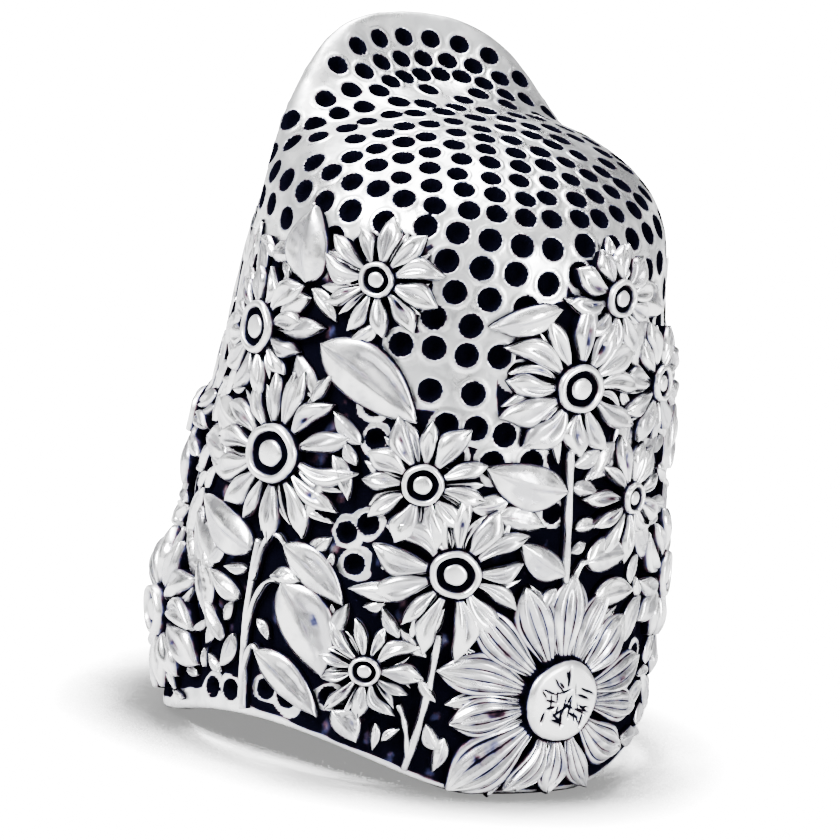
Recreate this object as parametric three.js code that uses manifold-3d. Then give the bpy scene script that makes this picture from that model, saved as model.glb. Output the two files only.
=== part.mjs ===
// A silver thimble: one thin shell with a dimpled, tilted crown that rises into a rounded lobe
// over the fingernail, and flowers, leaves, stems and buds applied around its wall.
//
// Millimetres. +Z runs up the finger from the mouth plane, +Y is the nail side and -Y the side
// of the finger pad. A "turn" is an angle in degrees round the wall from the middle of the pad
// side, growing towards +X, and a "height" is measured up the wall's own surface.

import * as THREE from 'three';
import { mergeVertices } from 'three/addons/utils/BufferGeometryUtils.js';
import Module from 'manifold-3d';

const wasm = await Module();
wasm.setup();

// ---- shell ---------------------------------------------------------------------------------
const MOUTH_RADIUS = 9.75; // outside of the wall at the mouth
const WALL = 0.9;
const TAPER_PAD = 1.78; // how far the wall leans in at TAPER_HEIGHT, pad side
const TAPER_NAIL = 2.3; // the same on the nail side
const TAPER_HEIGHT = 24;
const TAPER_POWER = 2;

const CROWN_HEIGHT = 25.7; // middle of the crown
const CROWN_TILT = 0.132; // rise per millimetre towards the nail side
const CROWN_DOME = 2.1; // drop from the middle to the edge, away from the lobe
const DOME_CURVE = 2.4;
const CROWN_RADIUS = 8;
const CROWN_THICKNESS = 1;

const LOBE_RISE = 6.4; // extra height over the nail, at CROWN_RADIUS
const LOBE_CURVE = 4;
const LOBE_MIDDLE = 96; // direction of the lobe from +X
const LOBE_EDGE = 69.5; // half angle at which it has died away
const LOBE_ROUND = 3; // how full the lobe's outline is near its top
const LOBE_FADE = 2; // how gently it dies away
const LOBE_INSIDE = 0.7; // share of the lobe's rise that the hollow follows

const SHOULDER_PAD = 1.8; // length of the rounding between wall and crown
const SHOULDER_NAIL = 0.45;
const SHOULDER_INSIDE = 0.6; // how much longer the hollow's own rounding is

const SCALLOP_BETWEEN = -84; // direction of the low arc between the two scallops, from +X
const SCALLOP_AT = 66; // angle from there to the two places where the rim is highest
const SCALLOP_HALF_WIDTH = 50;
const SCALLOP_RISE = 1.7;
const SCALLOP_CURVE = 1.25; // how steeply a scallop starts: 2 is gentle, 1 is abrupt

const SHELL_SIDES = 48;
const OUTER_ROWS = { wall: 5, shoulder: 3, crown: 4 };
const INNER_ROWS = { wall: 3, shoulder: 2, crown: 2 };
const FINE_ROWS = { wall: 16, shoulder: 10, crown: 10 };

const OUTSIDE = { inset: 0, drop: 0, lobe: 1, shoulder: 0 };
const INSIDE = { inset: WALL, drop: CROWN_THICKNESS, lobe: LOBE_INSIDE, shoulder: SHOULDER_INSIDE };

// ---- dimples -------------------------------------------------------------------------------
const DIMPLE_RADIUS = 0.5;
const DIMPLE_FLOOR_RADIUS = 0.3;
const DIMPLE_DEPTH = 0.45;
const DIMPLE_PITCH = 1.75; // between the rings, and along them
const DIMPLE_SIDES = 5;
const DIMPLE_LAND = 0.05; // plain metal kept round a dimple, beside an ornament
const LOWEST_DIMPLE = 21.6; // height of the lowest ring, apart from the panels
const DIMPLED_PANELS = [ // where the dimples run further down the wall
  { from: -36, to: 3, lowest: 13.2 },
  { from: 40, to: 78, lowest: 18.2 },
];
const CREST_LAND = 1.1; // plain metal kept on each side of the lobe's crest

// ---- ornaments -----------------------------------------------------------------------------
const SOLDER_GAP = 0.08; // between an ornament and what it sits on
const ORNAMENT_GAP = 0.1; // between two ornaments, side by side
const RIM_LAND = 0.25; // plain metal between an ornament and the rim
const PETAL_RELIEF = 0.62;
const HUB_RELIEF = 0.3;
const BOSS_RELIEF = 0.78;
const BOSS_GROOVE = 0.5;
const LEAF_RELIEF = 0.5;
const STEM_RELIEF = 0.34;
const STEM_WIDTH = 0.42;
const CUTTER_RELIEF = 1.5;

const PETAL_NOTCH = 0.3; // where two petals part, as a share of their length beyond the boss
const PETAL_SHOULDER = 0.66; // where a petal is broadest
const PETAL_RIDGE = 0.55; // where it is highest
const PETAL_BREADTH = 0.62; // how much of the room between two notches its shoulders span
const UNEVEN_SPACING = 0.12;
const UNEVEN_LENGTH = 0.09;
const SHORTEST_PETAL = 0.3;
const HUB_SHARE = 0.8; // radius of the petals' hub, as a share of the boss's
const BOSS_FOOT = HUB_RELIEF + SOLDER_GAP;
const BOSS_PROFILE = [ // share of the boss's radius, and height over the wall, from foot to top
  [0.76, BOSS_FOOT],
  [0.97, 0.7 * BOSS_RELIEF + 0.3 * BOSS_FOOT],
  [0.88, BOSS_RELIEF],
  [0.6, BOSS_RELIEF],
  [0.5, BOSS_GROOVE],
  [0.36, BOSS_RELIEF],
];
const BIG_BOSS = { from: 0.9, sides: 10 };
const SMALL_BOSS_SIDES = 8;
const LEAF_BELLY = 0.8; // below 1 the leaf is broadest nearer its foot
const LEAF_FULLNESS = 0.75; // below 1 its outline is rounder

const FLOWERS = [
  { name: 'upper_left_daisy', turn: -82, height: 17, petal: 2.9, boss: 1.05, count: 12 },
  { name: 'left_daisy', turn: -67.7, height: 12.4, petal: 3.8, boss: 1.22, count: 14 },
  { name: 'left_shoulder_daisy', turn: -46.9, height: 20.1, petal: 2.6, boss: 0.7, count: 11 },
  { name: 'upper_middle_daisy', turn: -28.4, height: 12.4, petal: 2.8, boss: 0.82, count: 11 },
  { name: 'middle_daisy', turn: -18.5, height: 9, petal: 3.4, boss: 0.98, count: 13 },
  { name: 'upper_right_daisy', turn: 8.5, height: 16.6, petal: 3.4, boss: 1, count: 13 },
  { name: 'right_shoulder_daisy', turn: 20.4, height: 20.1, petal: 2.5, boss: 0.75, count: 10 },
  { name: 'low_left_daisy', turn: -36, height: 4.7, petal: 2.3, boss: 0.6, count: 10 },
  { name: 'rim_sunflower', turn: 11.4, height: 4, petal: 5.5, boss: 1.66, count: 15 },
  { name: 'right_daisy', turn: 28.9, height: 12, petal: 2.6, boss: 0.62, count: 10 },
  { name: 'right_side_daisy', turn: 40.7, height: 16.4, petal: 2.7, boss: 0.75, count: 10 },
  { name: 'left_edge_daisy', turn: -118, height: 12.2, petal: 3.4, boss: 1, count: 12 },
  { name: 'left_rim_daisy', turn: -105, height: 4.2, petal: 3.7, boss: 1, count: 12 },
  { name: 'right_rim_daisy', turn: 54, height: 8.2, petal: 3.2, boss: 0.95, count: 12 },
  { name: 'right_back_daisy', turn: 82, height: 14.6, petal: 4.1, boss: 1.1, count: 12 },
  { name: 'right_low_back_daisy', turn: 98, height: 6.2, petal: 4, boss: 1.1, count: 12 },
  { name: 'back_daisy', turn: 134, height: 14.6, petal: 4.5, boss: 1.25, count: 13 },
  { name: 'back_sunflower', turn: 154, height: 4.9, petal: 4.9, boss: 1.4, count: 14 },
  { name: 'left_back_daisy', turn: -172, height: 17, petal: 4.1, boss: 1.05, count: 12 },
  { name: 'left_low_back_daisy', turn: -149, height: 8.8, petal: 4.5, boss: 1.2, count: 13 },
];

// Leaves and buds: "aim" is the direction of the tip, in degrees from the way a turn grows.
const LEAVES = [
  { name: 'left_shoulder_leaf', turn: -68, height: 19.7, aim: 98, long: 2.8, wide: 2.1 },
  { name: 'broad_upper_leaf', turn: -59.7, height: 17.2, aim: -29, long: 4.8, wide: 2.3 },
  { name: 'middle_leaf', turn: 7.9, height: 12.5, aim: 167, long: 3.5, wide: 1.8 },
  { name: 'arched_leaf', turn: -60.6, height: 9, aim: -33, long: 3.3, wide: 1.5 },
  { name: 'broad_low_leaf', turn: -59.7, height: 7.5, aim: -56, long: 4, wide: 2.3 },
  { name: 'drooping_leaf', turn: -64.4, height: 4.5, aim: -33, long: 3.6, wide: 1.4 },
  { name: 'left_edge_leaf', turn: -70, height: 8.4, aim: 160, long: 3.8, wide: 1.7 },
  { name: 'stem_leaf', turn: 9.4, height: 9.1, aim: 148, long: 2.4, wide: 1.2 },
  { name: 'low_bud', turn: -42.6, height: 2.9, aim: -46, long: 1.5, wide: 1.1 },
  { name: 'right_bud', turn: 15.5, height: 9.6, aim: 4, long: 2.4, wide: 1.4 },
  { name: 'right_rim_leaf', turn: 58, height: 4.4, aim: -8, long: 3.6, wide: 1.8 },
  { name: 'right_back_leaf', turn: 108, height: 10.6, aim: 22, long: 3.6, wide: 1.9 },
  { name: 'back_leaf', turn: 170, height: 9.6, aim: 148, long: 3.4, wide: 1.8 },
  { name: 'left_back_leaf', turn: -134, height: 15.2, aim: 55, long: 4, wide: 2 },
];

// Stems run down from a flower through [turn, height] pairs.
const STEMS = [
  { name: 'left_stem', path: [[-68.2, 8.9], [-68.4, 5.4], [-65.9, 2.2]] },
  { name: 'middle_stem', path: [[-20.6, 6.5], [-21.6, 3.8], [-24.6, 1.1]] },
  { name: 'right_stem', path: [[8.1, 14.2], [9.1, 11.4], [9.9, 8.8]] },
  { name: 'right_back_stem', path: [[90, 12], [92.5, 10], [94.5, 8.4]] },
  { name: 'back_stem', path: [[142, 10.6], [147, 8.8], [150.5, 7.6]] },
];
const STEM_STEPS = 6;

// ---- metal ---------------------------------------------------------------------------------
const METALS = {
  shell: { color: 0xa9adb2, roughness: 0.34, metalness: 1 },
  petals: { color: 0xdfe1e3, roughness: 0.26, metalness: 1 },
  boss: { color: 0xe9eaeb, roughness: 0.2, metalness: 1 },
  leaf: { color: 0xd3d6d9, roughness: 0.28, metalness: 1 },
};

// ---- small helpers -------------------------------------------------------------------------
const radians = THREE.MathUtils.degToRad;
const { lerp, clamp } = THREE.MathUtils;

// Angle between two directions in degrees, from 0 to 180.
function apart(a, b) {
  return Math.abs(THREE.MathUtils.euclideanModulo(a - b + 180, 360) - 180);
}

// A fixed value from -1 to 1 that differs from piece to piece.
function wobble(index, kind) {
  return Math.sin(index * 12.99 + kind * 78.23 + 1.7);
}

function meshFrom(name, geometry, metal) {
  const mesh = new THREE.Mesh(geometry, new THREE.MeshStandardMaterial(METALS[metal]));
  mesh.name = name;
  mesh.geometry.computeVertexNormals();
  return mesh;
}

function geometryFrom(points, faces) {
  const geometry = new THREE.BufferGeometry();
  geometry.setFromPoints(points);
  geometry.setIndex(faces.flat());
  return geometry;
}

function solidFrom(geometry) {
  geometry.deleteAttribute('normal');
  geometry.deleteAttribute('uv');
  const merged = mergeVertices(geometry, 1e-5);
  return new wasm.Manifold(new wasm.Mesh({
    numProp: 3,
    vertProperties: new Float32Array(merged.attributes.position.array),
    triVerts: new Uint32Array(merged.index.array),
  }));
}

function geometryOf(solid) {
  const cut = solid.getMesh();
  const geometry = new THREE.BufferGeometry();
  geometry.setAttribute('position', new THREE.BufferAttribute(cut.vertProperties, cut.numProp));
  geometry.setIndex(new THREE.BufferAttribute(cut.triVerts, 1));
  return geometry;
}

// The largest of the pieces that a cut leaves.
function largestPiece(solid) {
  const pieces = solid.decompose();
  return pieces.reduce((best, piece) => (piece.volume() > best.volume() ? piece : best));
}

// ---- the thimble's surface -----------------------------------------------------------------
function lobeShare(theta) {
  const away = apart(THREE.MathUtils.radToDeg(theta), LOBE_MIDDLE);
  return (1 - Math.min(away / LOBE_EDGE, 1) ** LOBE_ROUND) ** LOBE_FADE;
}

function rimHeight(theta) {
  const away = apart(THREE.MathUtils.radToDeg(theta), SCALLOP_BETWEEN);
  const share = clamp(Math.abs(away - SCALLOP_AT) / SCALLOP_HALF_WIDTH, 0, 1);
  return SCALLOP_RISE * Math.abs(Math.cos((Math.PI / 2) * share)) ** SCALLOP_CURVE;
}

function wallRadius(z, nail, skin) {
  const taper = lerp(TAPER_PAD, TAPER_NAIL, nail);
  return MOUTH_RADIUS - skin.inset - taper * (Math.max(z, 0) / TAPER_HEIGHT) ** TAPER_POWER;
}

function crownHeight(radius, theta, nail, skin) {
  const share = radius / CROWN_RADIUS;
  const tilt = CROWN_TILT * radius * Math.sin(theta);
  const lobe = LOBE_RISE * skin.lobe * nail * share ** LOBE_CURVE;
  const dome = CROWN_DOME * (1 - nail) * share ** DOME_CURVE;
  return CROWN_HEIGHT - skin.drop + tilt + lobe - dome;
}

// The curve that rounds the corner between wall and crown at one angle.
function shoulderCurve(theta, skin) {
  const nail = lobeShare(theta);
  const reach = lerp(SHOULDER_PAD, SHOULDER_NAIL, nail) + skin.shoulder;
  let radius = MOUTH_RADIUS;
  let height = CROWN_HEIGHT;
  for (let pass = 0; pass < 25; pass += 1) {
    radius = wallRadius(height, nail, skin);
    height = crownHeight(radius, theta, nail, skin);
  }
  const step = 1e-4;
  const low = new THREE.Vector2(wallRadius(height - reach, nail, skin), height - reach);
  const lean = (wallRadius(low.y + step, nail, skin) - low.x) / step;
  const high = new THREE.Vector2(radius - reach, crownHeight(radius - reach, theta, nail, skin));
  const slope = (crownHeight(high.x + step, theta, nail, skin) - high.y) / step;
  const cornerZ = (high.y + slope * (low.x - lean * low.y - high.x)) / (1 - slope * lean);
  const corner = new THREE.Vector2(low.x + lean * (cornerZ - low.y), cornerZ);
  return new THREE.QuadraticBezierCurve(low, corner, high);
}

// Points (radius, z) from the rim to the middle of the crown at one angle.
function section(theta, skin, rows) {
  const nail = lobeShare(theta);
  const curve = shoulderCurve(theta, skin);
  const rim = rimHeight(theta);
  const points = [];
  for (let row = 0; row < rows.wall; row += 1) {
    const z = lerp(rim, curve.v0.y, row / rows.wall);
    points.push(new THREE.Vector2(wallRadius(z, nail, skin), z));
  }
  for (let row = 0; row < rows.shoulder; row += 1) {
    points.push(curve.getPoint(row / rows.shoulder));
  }
  for (let row = 0; row <= rows.crown; row += 1) {
    const radius = curve.v2.x * (1 - row / rows.crown);
    points.push(new THREE.Vector2(radius, crownHeight(radius, theta, nail, skin)));
  }
  return points;
}

// Length up the surface to the middle of the crown at one angle.
function wholeHeight(theta) {
  const points = section(theta, OUTSIDE, FINE_ROWS);
  let length = rimHeight(theta);
  for (let index = 1; index < points.length; index += 1) {
    length += points[index].distanceTo(points[index - 1]);
  }
  return length;
}

// The outside of the shell at an angle and a height measured up the surface.
function surfacePoint(theta, height) {
  const points = section(theta, OUTSIDE, FINE_ROWS);
  let start = rimHeight(theta);
  let index = 1;
  while (index < points.length - 1 && start + points[index].distanceTo(points[index - 1]) < height) {
    start += points[index].distanceTo(points[index - 1]);
    index += 1;
  }
  const share = (height - start) / points[index].distanceTo(points[index - 1]);
  const place = points[index - 1].clone().lerp(points[index], share);
  return new THREE.Vector3(place.x * Math.cos(theta), place.x * Math.sin(theta), place.y);
}

function surfaceNormal(theta, height) {
  const step = 0.02;
  const across = surfacePoint(theta + step, height).sub(surfacePoint(theta - step, height));
  const along = surfacePoint(theta, height + step).sub(surfacePoint(theta, height - step));
  return across.cross(along).normalize();
}

// A point beside (turn, height): "across" and "along" run on the surface, "out" leaves it.
function wallPoint(turn, height, across, along, out) {
  const middle = radians(turn - 90);
  const centre = surfacePoint(middle, height);
  const theta = middle + across / Math.hypot(centre.x, centre.y);
  const up = height + along;
  return surfacePoint(theta, up).addScaledVector(surfaceNormal(theta, up), out);
}

// ---- shell ---------------------------------------------------------------------------------
function skinPoints(skin, rows) {
  const points = [];
  for (let side = 0; side < SHELL_SIDES; side += 1) {
    const theta = (2 * Math.PI * side) / SHELL_SIDES;
    for (const place of section(theta, skin, rows).slice(0, -1)) {
      points.push(new THREE.Vector3(place.x * Math.cos(theta), place.x * Math.sin(theta), place.y));
    }
  }
  points.push(new THREE.Vector3(0, 0, CROWN_HEIGHT - skin.drop));
  return points;
}

// Faces of one skin that look away from the axis, its points starting at "first".
function skinFaces(rows, first) {
  const count = rows.wall + rows.shoulder + rows.crown;
  const top = first + SHELL_SIDES * count;
  const faces = [];
  for (let side = 0; side < SHELL_SIDES; side += 1) {
    const here = first + side * count;
    const next = first + ((side + 1) % SHELL_SIDES) * count;
    for (let row = 0; row < count - 1; row += 1) {
      faces.push([here + row, next + row, next + row + 1]);
      faces.push([here + row, next + row + 1, here + row + 1]);
    }
    faces.push([here + count - 1, next + count - 1, top]);
  }
  return faces;
}

function plainShell() {
  const outer = skinPoints(OUTSIDE, OUTER_ROWS);
  const inner = skinPoints(INSIDE, INNER_ROWS);
  const outerCount = OUTER_ROWS.wall + OUTER_ROWS.shoulder + OUTER_ROWS.crown;
  const innerCount = INNER_ROWS.wall + INNER_ROWS.shoulder + INNER_ROWS.crown;
  const faces = skinFaces(OUTER_ROWS, 0);
  for (const face of skinFaces(INNER_ROWS, outer.length)) {
    faces.push(face.reverse());
  }
  for (let side = 0; side < SHELL_SIDES; side += 1) {
    const next = (side + 1) % SHELL_SIDES;
    const outerRim = [side * outerCount, next * outerCount];
    const innerRim = [outer.length + side * innerCount, outer.length + next * innerCount];
    faces.push([outerRim[0], innerRim[0], innerRim[1]]);
    faces.push([outerRim[0], innerRim[1], outerRim[1]]);
  }
  return solidFrom(geometryFrom([...outer, ...inner], faces));
}

// ---- dimples -------------------------------------------------------------------------------
// Distance on the surface from a place to a flower's middle.
function distanceTo(flower, turn, height) {
  const across = radians(apart(turn, flower.turn)) * MOUTH_RADIUS;
  return Math.hypot(across, height - flower.height);
}

function isUnderOrnament(turn, height) {
  const room = DIMPLE_RADIUS + DIMPLE_LAND;
  const onFlower = FLOWERS.some((flower) => distanceTo(flower, turn, height) < flower.petal + room);
  const onLeaf = LEAVES.some((leaf) => (
    distanceTo(leafMiddle(leaf), turn, height) < leaf.long / 2 + room
  ));
  return onFlower || onLeaf;
}

function leafMiddle(leaf) {
  const across = (leaf.long / 2) * Math.cos(radians(leaf.aim));
  return {
    turn: leaf.turn + THREE.MathUtils.radToDeg(across / MOUTH_RADIUS),
    height: leaf.height + (leaf.long / 2) * Math.sin(radians(leaf.aim)),
  };
}

function keepsDimple(theta, height) {
  const turn = THREE.MathUtils.euclideanModulo(THREE.MathUtils.radToDeg(theta) + 270, 360) - 180;
  const panel = DIMPLED_PANELS.find(({ from, to }) => turn > from && turn < to);
  const lowest = panel ? panel.lowest : LOWEST_DIMPLE;
  const curve = shoulderCurve(theta, OUTSIDE);
  const crest = curve.v0.y + curve.getLength() / 2;
  const nearCrest = lobeShare(theta) > 0.25 && Math.abs(height - crest) < CREST_LAND;
  return height > lowest && !nearCrest && !isUnderOrnament(turn, height);
}

function dimpleCutter(theta, height) {
  const lip = DIMPLE_DEPTH / 2;
  const flare = DIMPLE_RADIUS + (DIMPLE_RADIUS - DIMPLE_FLOOR_RADIUS) * (lip / DIMPLE_DEPTH);
  const geometry = new THREE.CylinderGeometry(
    flare, DIMPLE_FLOOR_RADIUS, DIMPLE_DEPTH + lip, DIMPLE_SIDES,
  );
  geometry.translate(0, (lip - DIMPLE_DEPTH) / 2, 0);
  const normal = surfaceNormal(theta, height);
  const upright = new THREE.Vector3(0, 1, 0);
  geometry.applyQuaternion(new THREE.Quaternion().setFromUnitVectors(upright, normal));
  const place = surfacePoint(theta, height);
  geometry.translate(place.x, place.y, place.z);
  return solidFrom(geometry);
}

// Rings of dimples round the middle of the crown, down to the ornaments.
function dimpleCutters() {
  const cutters = [];
  const lowest = Math.min(...DIMPLED_PANELS.map((panel) => panel.lowest));
  const rings = Math.floor((wholeHeight(-Math.PI / 2) - lowest) / DIMPLE_PITCH);
  for (let ring = 1; ring <= rings; ring += 1) {
    const away = (ring - 0.5) * DIMPLE_PITCH;
    const radius = Math.min(away, CROWN_RADIUS + WALL / 2);
    const count = Math.round((2 * Math.PI * radius) / DIMPLE_PITCH);
    for (let index = 0; index < count; index += 1) {
      const theta = (2 * Math.PI * (index + (ring % 2) / 2)) / count;
      const height = wholeHeight(theta) - away;
      if (keepsDimple(theta, height)) {
        cutters.push(dimpleCutter(theta, height));
      }
    }
  }
  return cutters;
}

function shellMesh() {
  let shell = plainShell();
  for (const cutter of dimpleCutters()) {
    shell = shell.subtract(cutter);
  }
  return meshFrom('shell', geometryOf(shell), 'shell');
}

// ---- flowers -------------------------------------------------------------------------------
// How far a flower's petals may reach in one direction before they meet a neighbour or the rim.
function petalReach(flower, direction) {
  let reach = flower.petal;
  for (const other of FLOWERS) {
    const turned = THREE.MathUtils.euclideanModulo(other.turn - flower.turn + 180, 360) - 180;
    const across = radians(turned) * MOUTH_RADIUS;
    const along = other.height - flower.height;
    const gap = Math.hypot(across, along);
    const facing = Math.cos(direction - Math.atan2(along, across));
    if (other !== flower && gap < flower.petal + other.petal && facing > 0.05) {
      const share = gap * (flower.petal / (flower.petal + other.petal)) - ORNAMENT_GAP / 2;
      reach = Math.min(reach, share / facing);
    }
  }
  const down = -Math.sin(direction);
  const room = flower.height - rimHeight(radians(flower.turn - 90)) - RIM_LAND;
  return down > 0.05 ? Math.min(reach, room / down) : reach;
}

// Polar places round a flower's middle: for each petal its notch, two shoulders, tip and ridge.
function petalPlaces(flower, grow) {
  const places = [];
  const half = Math.PI / flower.count;
  for (let index = 0; index < flower.count; index += 1) {
    const angle = 2 * half * (index + UNEVEN_SPACING * wobble(index, flower.height));
    const length = 1 + UNEVEN_LENGTH * wobble(index, flower.turn);
    const spread = PETAL_BREADTH * half;
    const limit = (direction, share) => {
      const wanted = flower.boss + (flower.petal * length - flower.boss) * share;
      const room = petalReach(flower, direction) - ORNAMENT_GAP;
      return Math.max(Math.min(wanted, room) + grow, SHORTEST_PETAL);
    };
    places.push({
      notch: { angle: angle - half, radius: limit(angle - half, PETAL_NOTCH) },
      left: { angle: angle - spread, radius: limit(angle - spread, PETAL_SHOULDER) },
      tip: { angle, radius: limit(angle, 1) },
      right: { angle: angle + spread, radius: limit(angle + spread, PETAL_SHOULDER) },
      ridge: { angle, radius: limit(angle, PETAL_RIDGE) },
    });
  }
  return places;
}

function flowerPoint(flower, place, out) {
  const across = place.radius * Math.cos(place.angle);
  const along = place.radius * Math.sin(place.angle);
  return wallPoint(flower.turn, flower.height, across, along, out);
}

// Petals and the hub that joins them, as one pillow: the outline is shared, the top is raised.
function petalsGeometry(flower) {
  const places = petalPlaces(flower, 0);
  const hub = flower.boss * HUB_SHARE;
  const points = [
    flowerPoint(flower, { angle: 0, radius: 0 }, SOLDER_GAP),
    flowerPoint(flower, { angle: 0, radius: 0 }, HUB_RELIEF),
  ];
  for (const petal of places) {
    const atHub = { angle: petal.notch.angle, radius: hub };
    points.push(
      flowerPoint(flower, petal.notch, SOLDER_GAP),
      flowerPoint(flower, petal.left, SOLDER_GAP),
      flowerPoint(flower, petal.tip, SOLDER_GAP),
      flowerPoint(flower, petal.right, SOLDER_GAP),
      flowerPoint(flower, petal.ridge, SOLDER_GAP),
      flowerPoint(flower, petal.ridge, PETAL_RELIEF),
      flowerPoint(flower, atHub, SOLDER_GAP),
      flowerPoint(flower, atHub, HUB_RELIEF),
    );
  }
  const faces = [];
  for (let index = 0; index < flower.count; index += 1) {
    const [notch, left, tip, right, lowRidge, ridge, lowHub, highHub] = petalNumbers(index);
    const next = petalNumbers((index + 1) % flower.count);
    const ring = [highHub, notch, left, tip, right, next[0], next[7]];
    const lowRing = [lowHub, notch, left, tip, right, next[0], next[6]];
    for (let corner = 0; corner < ring.length; corner += 1) {
      const after = (corner + 1) % ring.length;
      faces.push([ring[corner], ring[after], ridge]);
      faces.push([lowRing[after], lowRing[corner], lowRidge]);
    }
    faces.push([1, highHub, next[7]]);
    faces.push([0, next[6], lowHub]);
  }
  return geometryFrom(points, faces);
}

// Vertex numbers of one petal, in the order in which petalsGeometry makes them.
function petalNumbers(index) {
  const first = 2 + index * 8;
  return Array.from({ length: 8 }, (_, offset) => first + offset);
}

// Star-shaped block that stands for a flower when a leaf or a stem is cut to make room for it.
function flowerCutter(flower) {
  const outline = petalPlaces(flower, ORNAMENT_GAP).flatMap((petal) => (
    [petal.notch, petal.left, petal.tip, petal.right]
  ));
  return solidFrom(prismGeometry(
    (place, out) => flowerPoint(flower, place, out), outline, { angle: 0, radius: 0 },
  ));
}

// A block over an outline, from inside the wall to well above the relief.
function prismGeometry(pointAt, outline, middle) {
  const points = [pointAt(middle, -WALL / 2), pointAt(middle, CUTTER_RELIEF)];
  for (const place of outline) {
    points.push(pointAt(place, -WALL / 2), pointAt(place, CUTTER_RELIEF));
  }
  const faces = [];
  for (let index = 0; index < outline.length; index += 1) {
    const low = 2 + 2 * index;
    const nextLow = 2 + 2 * ((index + 1) % outline.length);
    faces.push([0, nextLow, low], [1, low + 1, nextLow + 1]);
    faces.push([low, nextLow, nextLow + 1], [low, nextLow + 1, low + 1]);
  }
  return geometryFrom(points, faces);
}

// The boss: a flat ring round a groove and a button, on the hub.
function bossGeometry(flower) {
  const steps = BOSS_PROFILE;
  const sides = flower.boss > BIG_BOSS.from ? BIG_BOSS.sides : SMALL_BOSS_SIDES;
  const points = [
    flowerPoint(flower, { angle: 0, radius: 0 }, BOSS_FOOT),
    flowerPoint(flower, { angle: 0, radius: 0 }, BOSS_RELIEF),
  ];
  for (let side = 0; side < sides; side += 1) {
    for (const [share, out] of steps) {
      const place = { angle: (2 * Math.PI * side) / sides, radius: flower.boss * share };
      points.push(flowerPoint(flower, place, out));
    }
  }
  const faces = [];
  for (let side = 0; side < sides; side += 1) {
    const here = 2 + side * steps.length;
    const next = 2 + ((side + 1) % sides) * steps.length;
    faces.push([0, next, here]);
    for (let step = 0; step < steps.length - 1; step += 1) {
      faces.push([here + step, next + step, next + step + 1]);
      faces.push([here + step, next + step + 1, here + step + 1]);
    }
    faces.push([here + steps.length - 1, next + steps.length - 1, 1]);
  }
  return geometryFrom(points, faces);
}

function flowerMeshes(flower) {
  return [
    meshFrom(`${flower.name}_petals`, petalsGeometry(flower), 'petals'),
    meshFrom(`${flower.name}_boss`, bossGeometry(flower), 'boss'),
  ];
}

// ---- leaves and stems ----------------------------------------------------------------------
const LEAF_STATIONS = [0.16, 0.4, 0.66, 0.86];

// A place on a leaf: "share" runs from its foot to its tip, "side" from edge to edge, -1 to 1.
function leafPoint(leaf, share, side, out, grow = 0) {
  const half = (leaf.wide / 2) * Math.sin(Math.PI * share ** LEAF_BELLY) ** LEAF_FULLNESS + grow;
  const far = share * leaf.long;
  const aim = radians(leaf.aim);
  const across = far * Math.cos(aim) - side * half * Math.sin(aim);
  const along = far * Math.sin(aim) + side * half * Math.cos(aim);
  return wallPoint(leaf.turn, leaf.height, across, along, out);
}

// A leaf with a raised midrib and one shared edge.
function leafGeometry(leaf) {
  const points = [leafPoint(leaf, 0, 0, SOLDER_GAP), leafPoint(leaf, 1, 0, SOLDER_GAP)];
  for (const share of LEAF_STATIONS) {
    points.push(
      leafPoint(leaf, share, -1, SOLDER_GAP),
      leafPoint(leaf, share, 1, SOLDER_GAP),
      leafPoint(leaf, share, 0, SOLDER_GAP),
      leafPoint(leaf, share, 0, LEAF_RELIEF),
    );
  }
  const last = LEAF_STATIONS.length - 1;
  const faces = [];
  const cap = (end, station, turned) => {
    const [right, left, low, high] = [0, 1, 2, 3].map((offset) => 2 + station * 4 + offset);
    const fan = [[end, right, high], [end, high, left], [end, low, right], [end, left, low]];
    faces.push(...(turned ? fan.map((face) => face.reverse()) : fan));
  };
  cap(0, 0, false);
  for (let station = 0; station < last; station += 1) {
    const [right, left, low, high] = [0, 1, 2, 3].map((offset) => 2 + station * 4 + offset);
    faces.push([right, right + 4, high + 4], [right, high + 4, high]);
    faces.push([high, high + 4, left + 4], [high, left + 4, left]);
    faces.push([left, left + 4, low + 4], [left, low + 4, low]);
    faces.push([low, low + 4, right + 4], [low, right + 4, right]);
  }
  cap(1, last, true);
  return geometryFrom(points, faces);
}

function leafCutter(leaf) {
  const outline = [[0, 0], ...LEAF_STATIONS.map((share) => [share, -1]), [1, 0],
    ...LEAF_STATIONS.map((share) => [share, 1]).reverse()];
  const pointAt = ([share, side], out) => leafPoint(leaf, share, side, out, ORNAMENT_GAP);
  return solidFrom(prismGeometry(pointAt, outline, [0.5, 0]));
}

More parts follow.
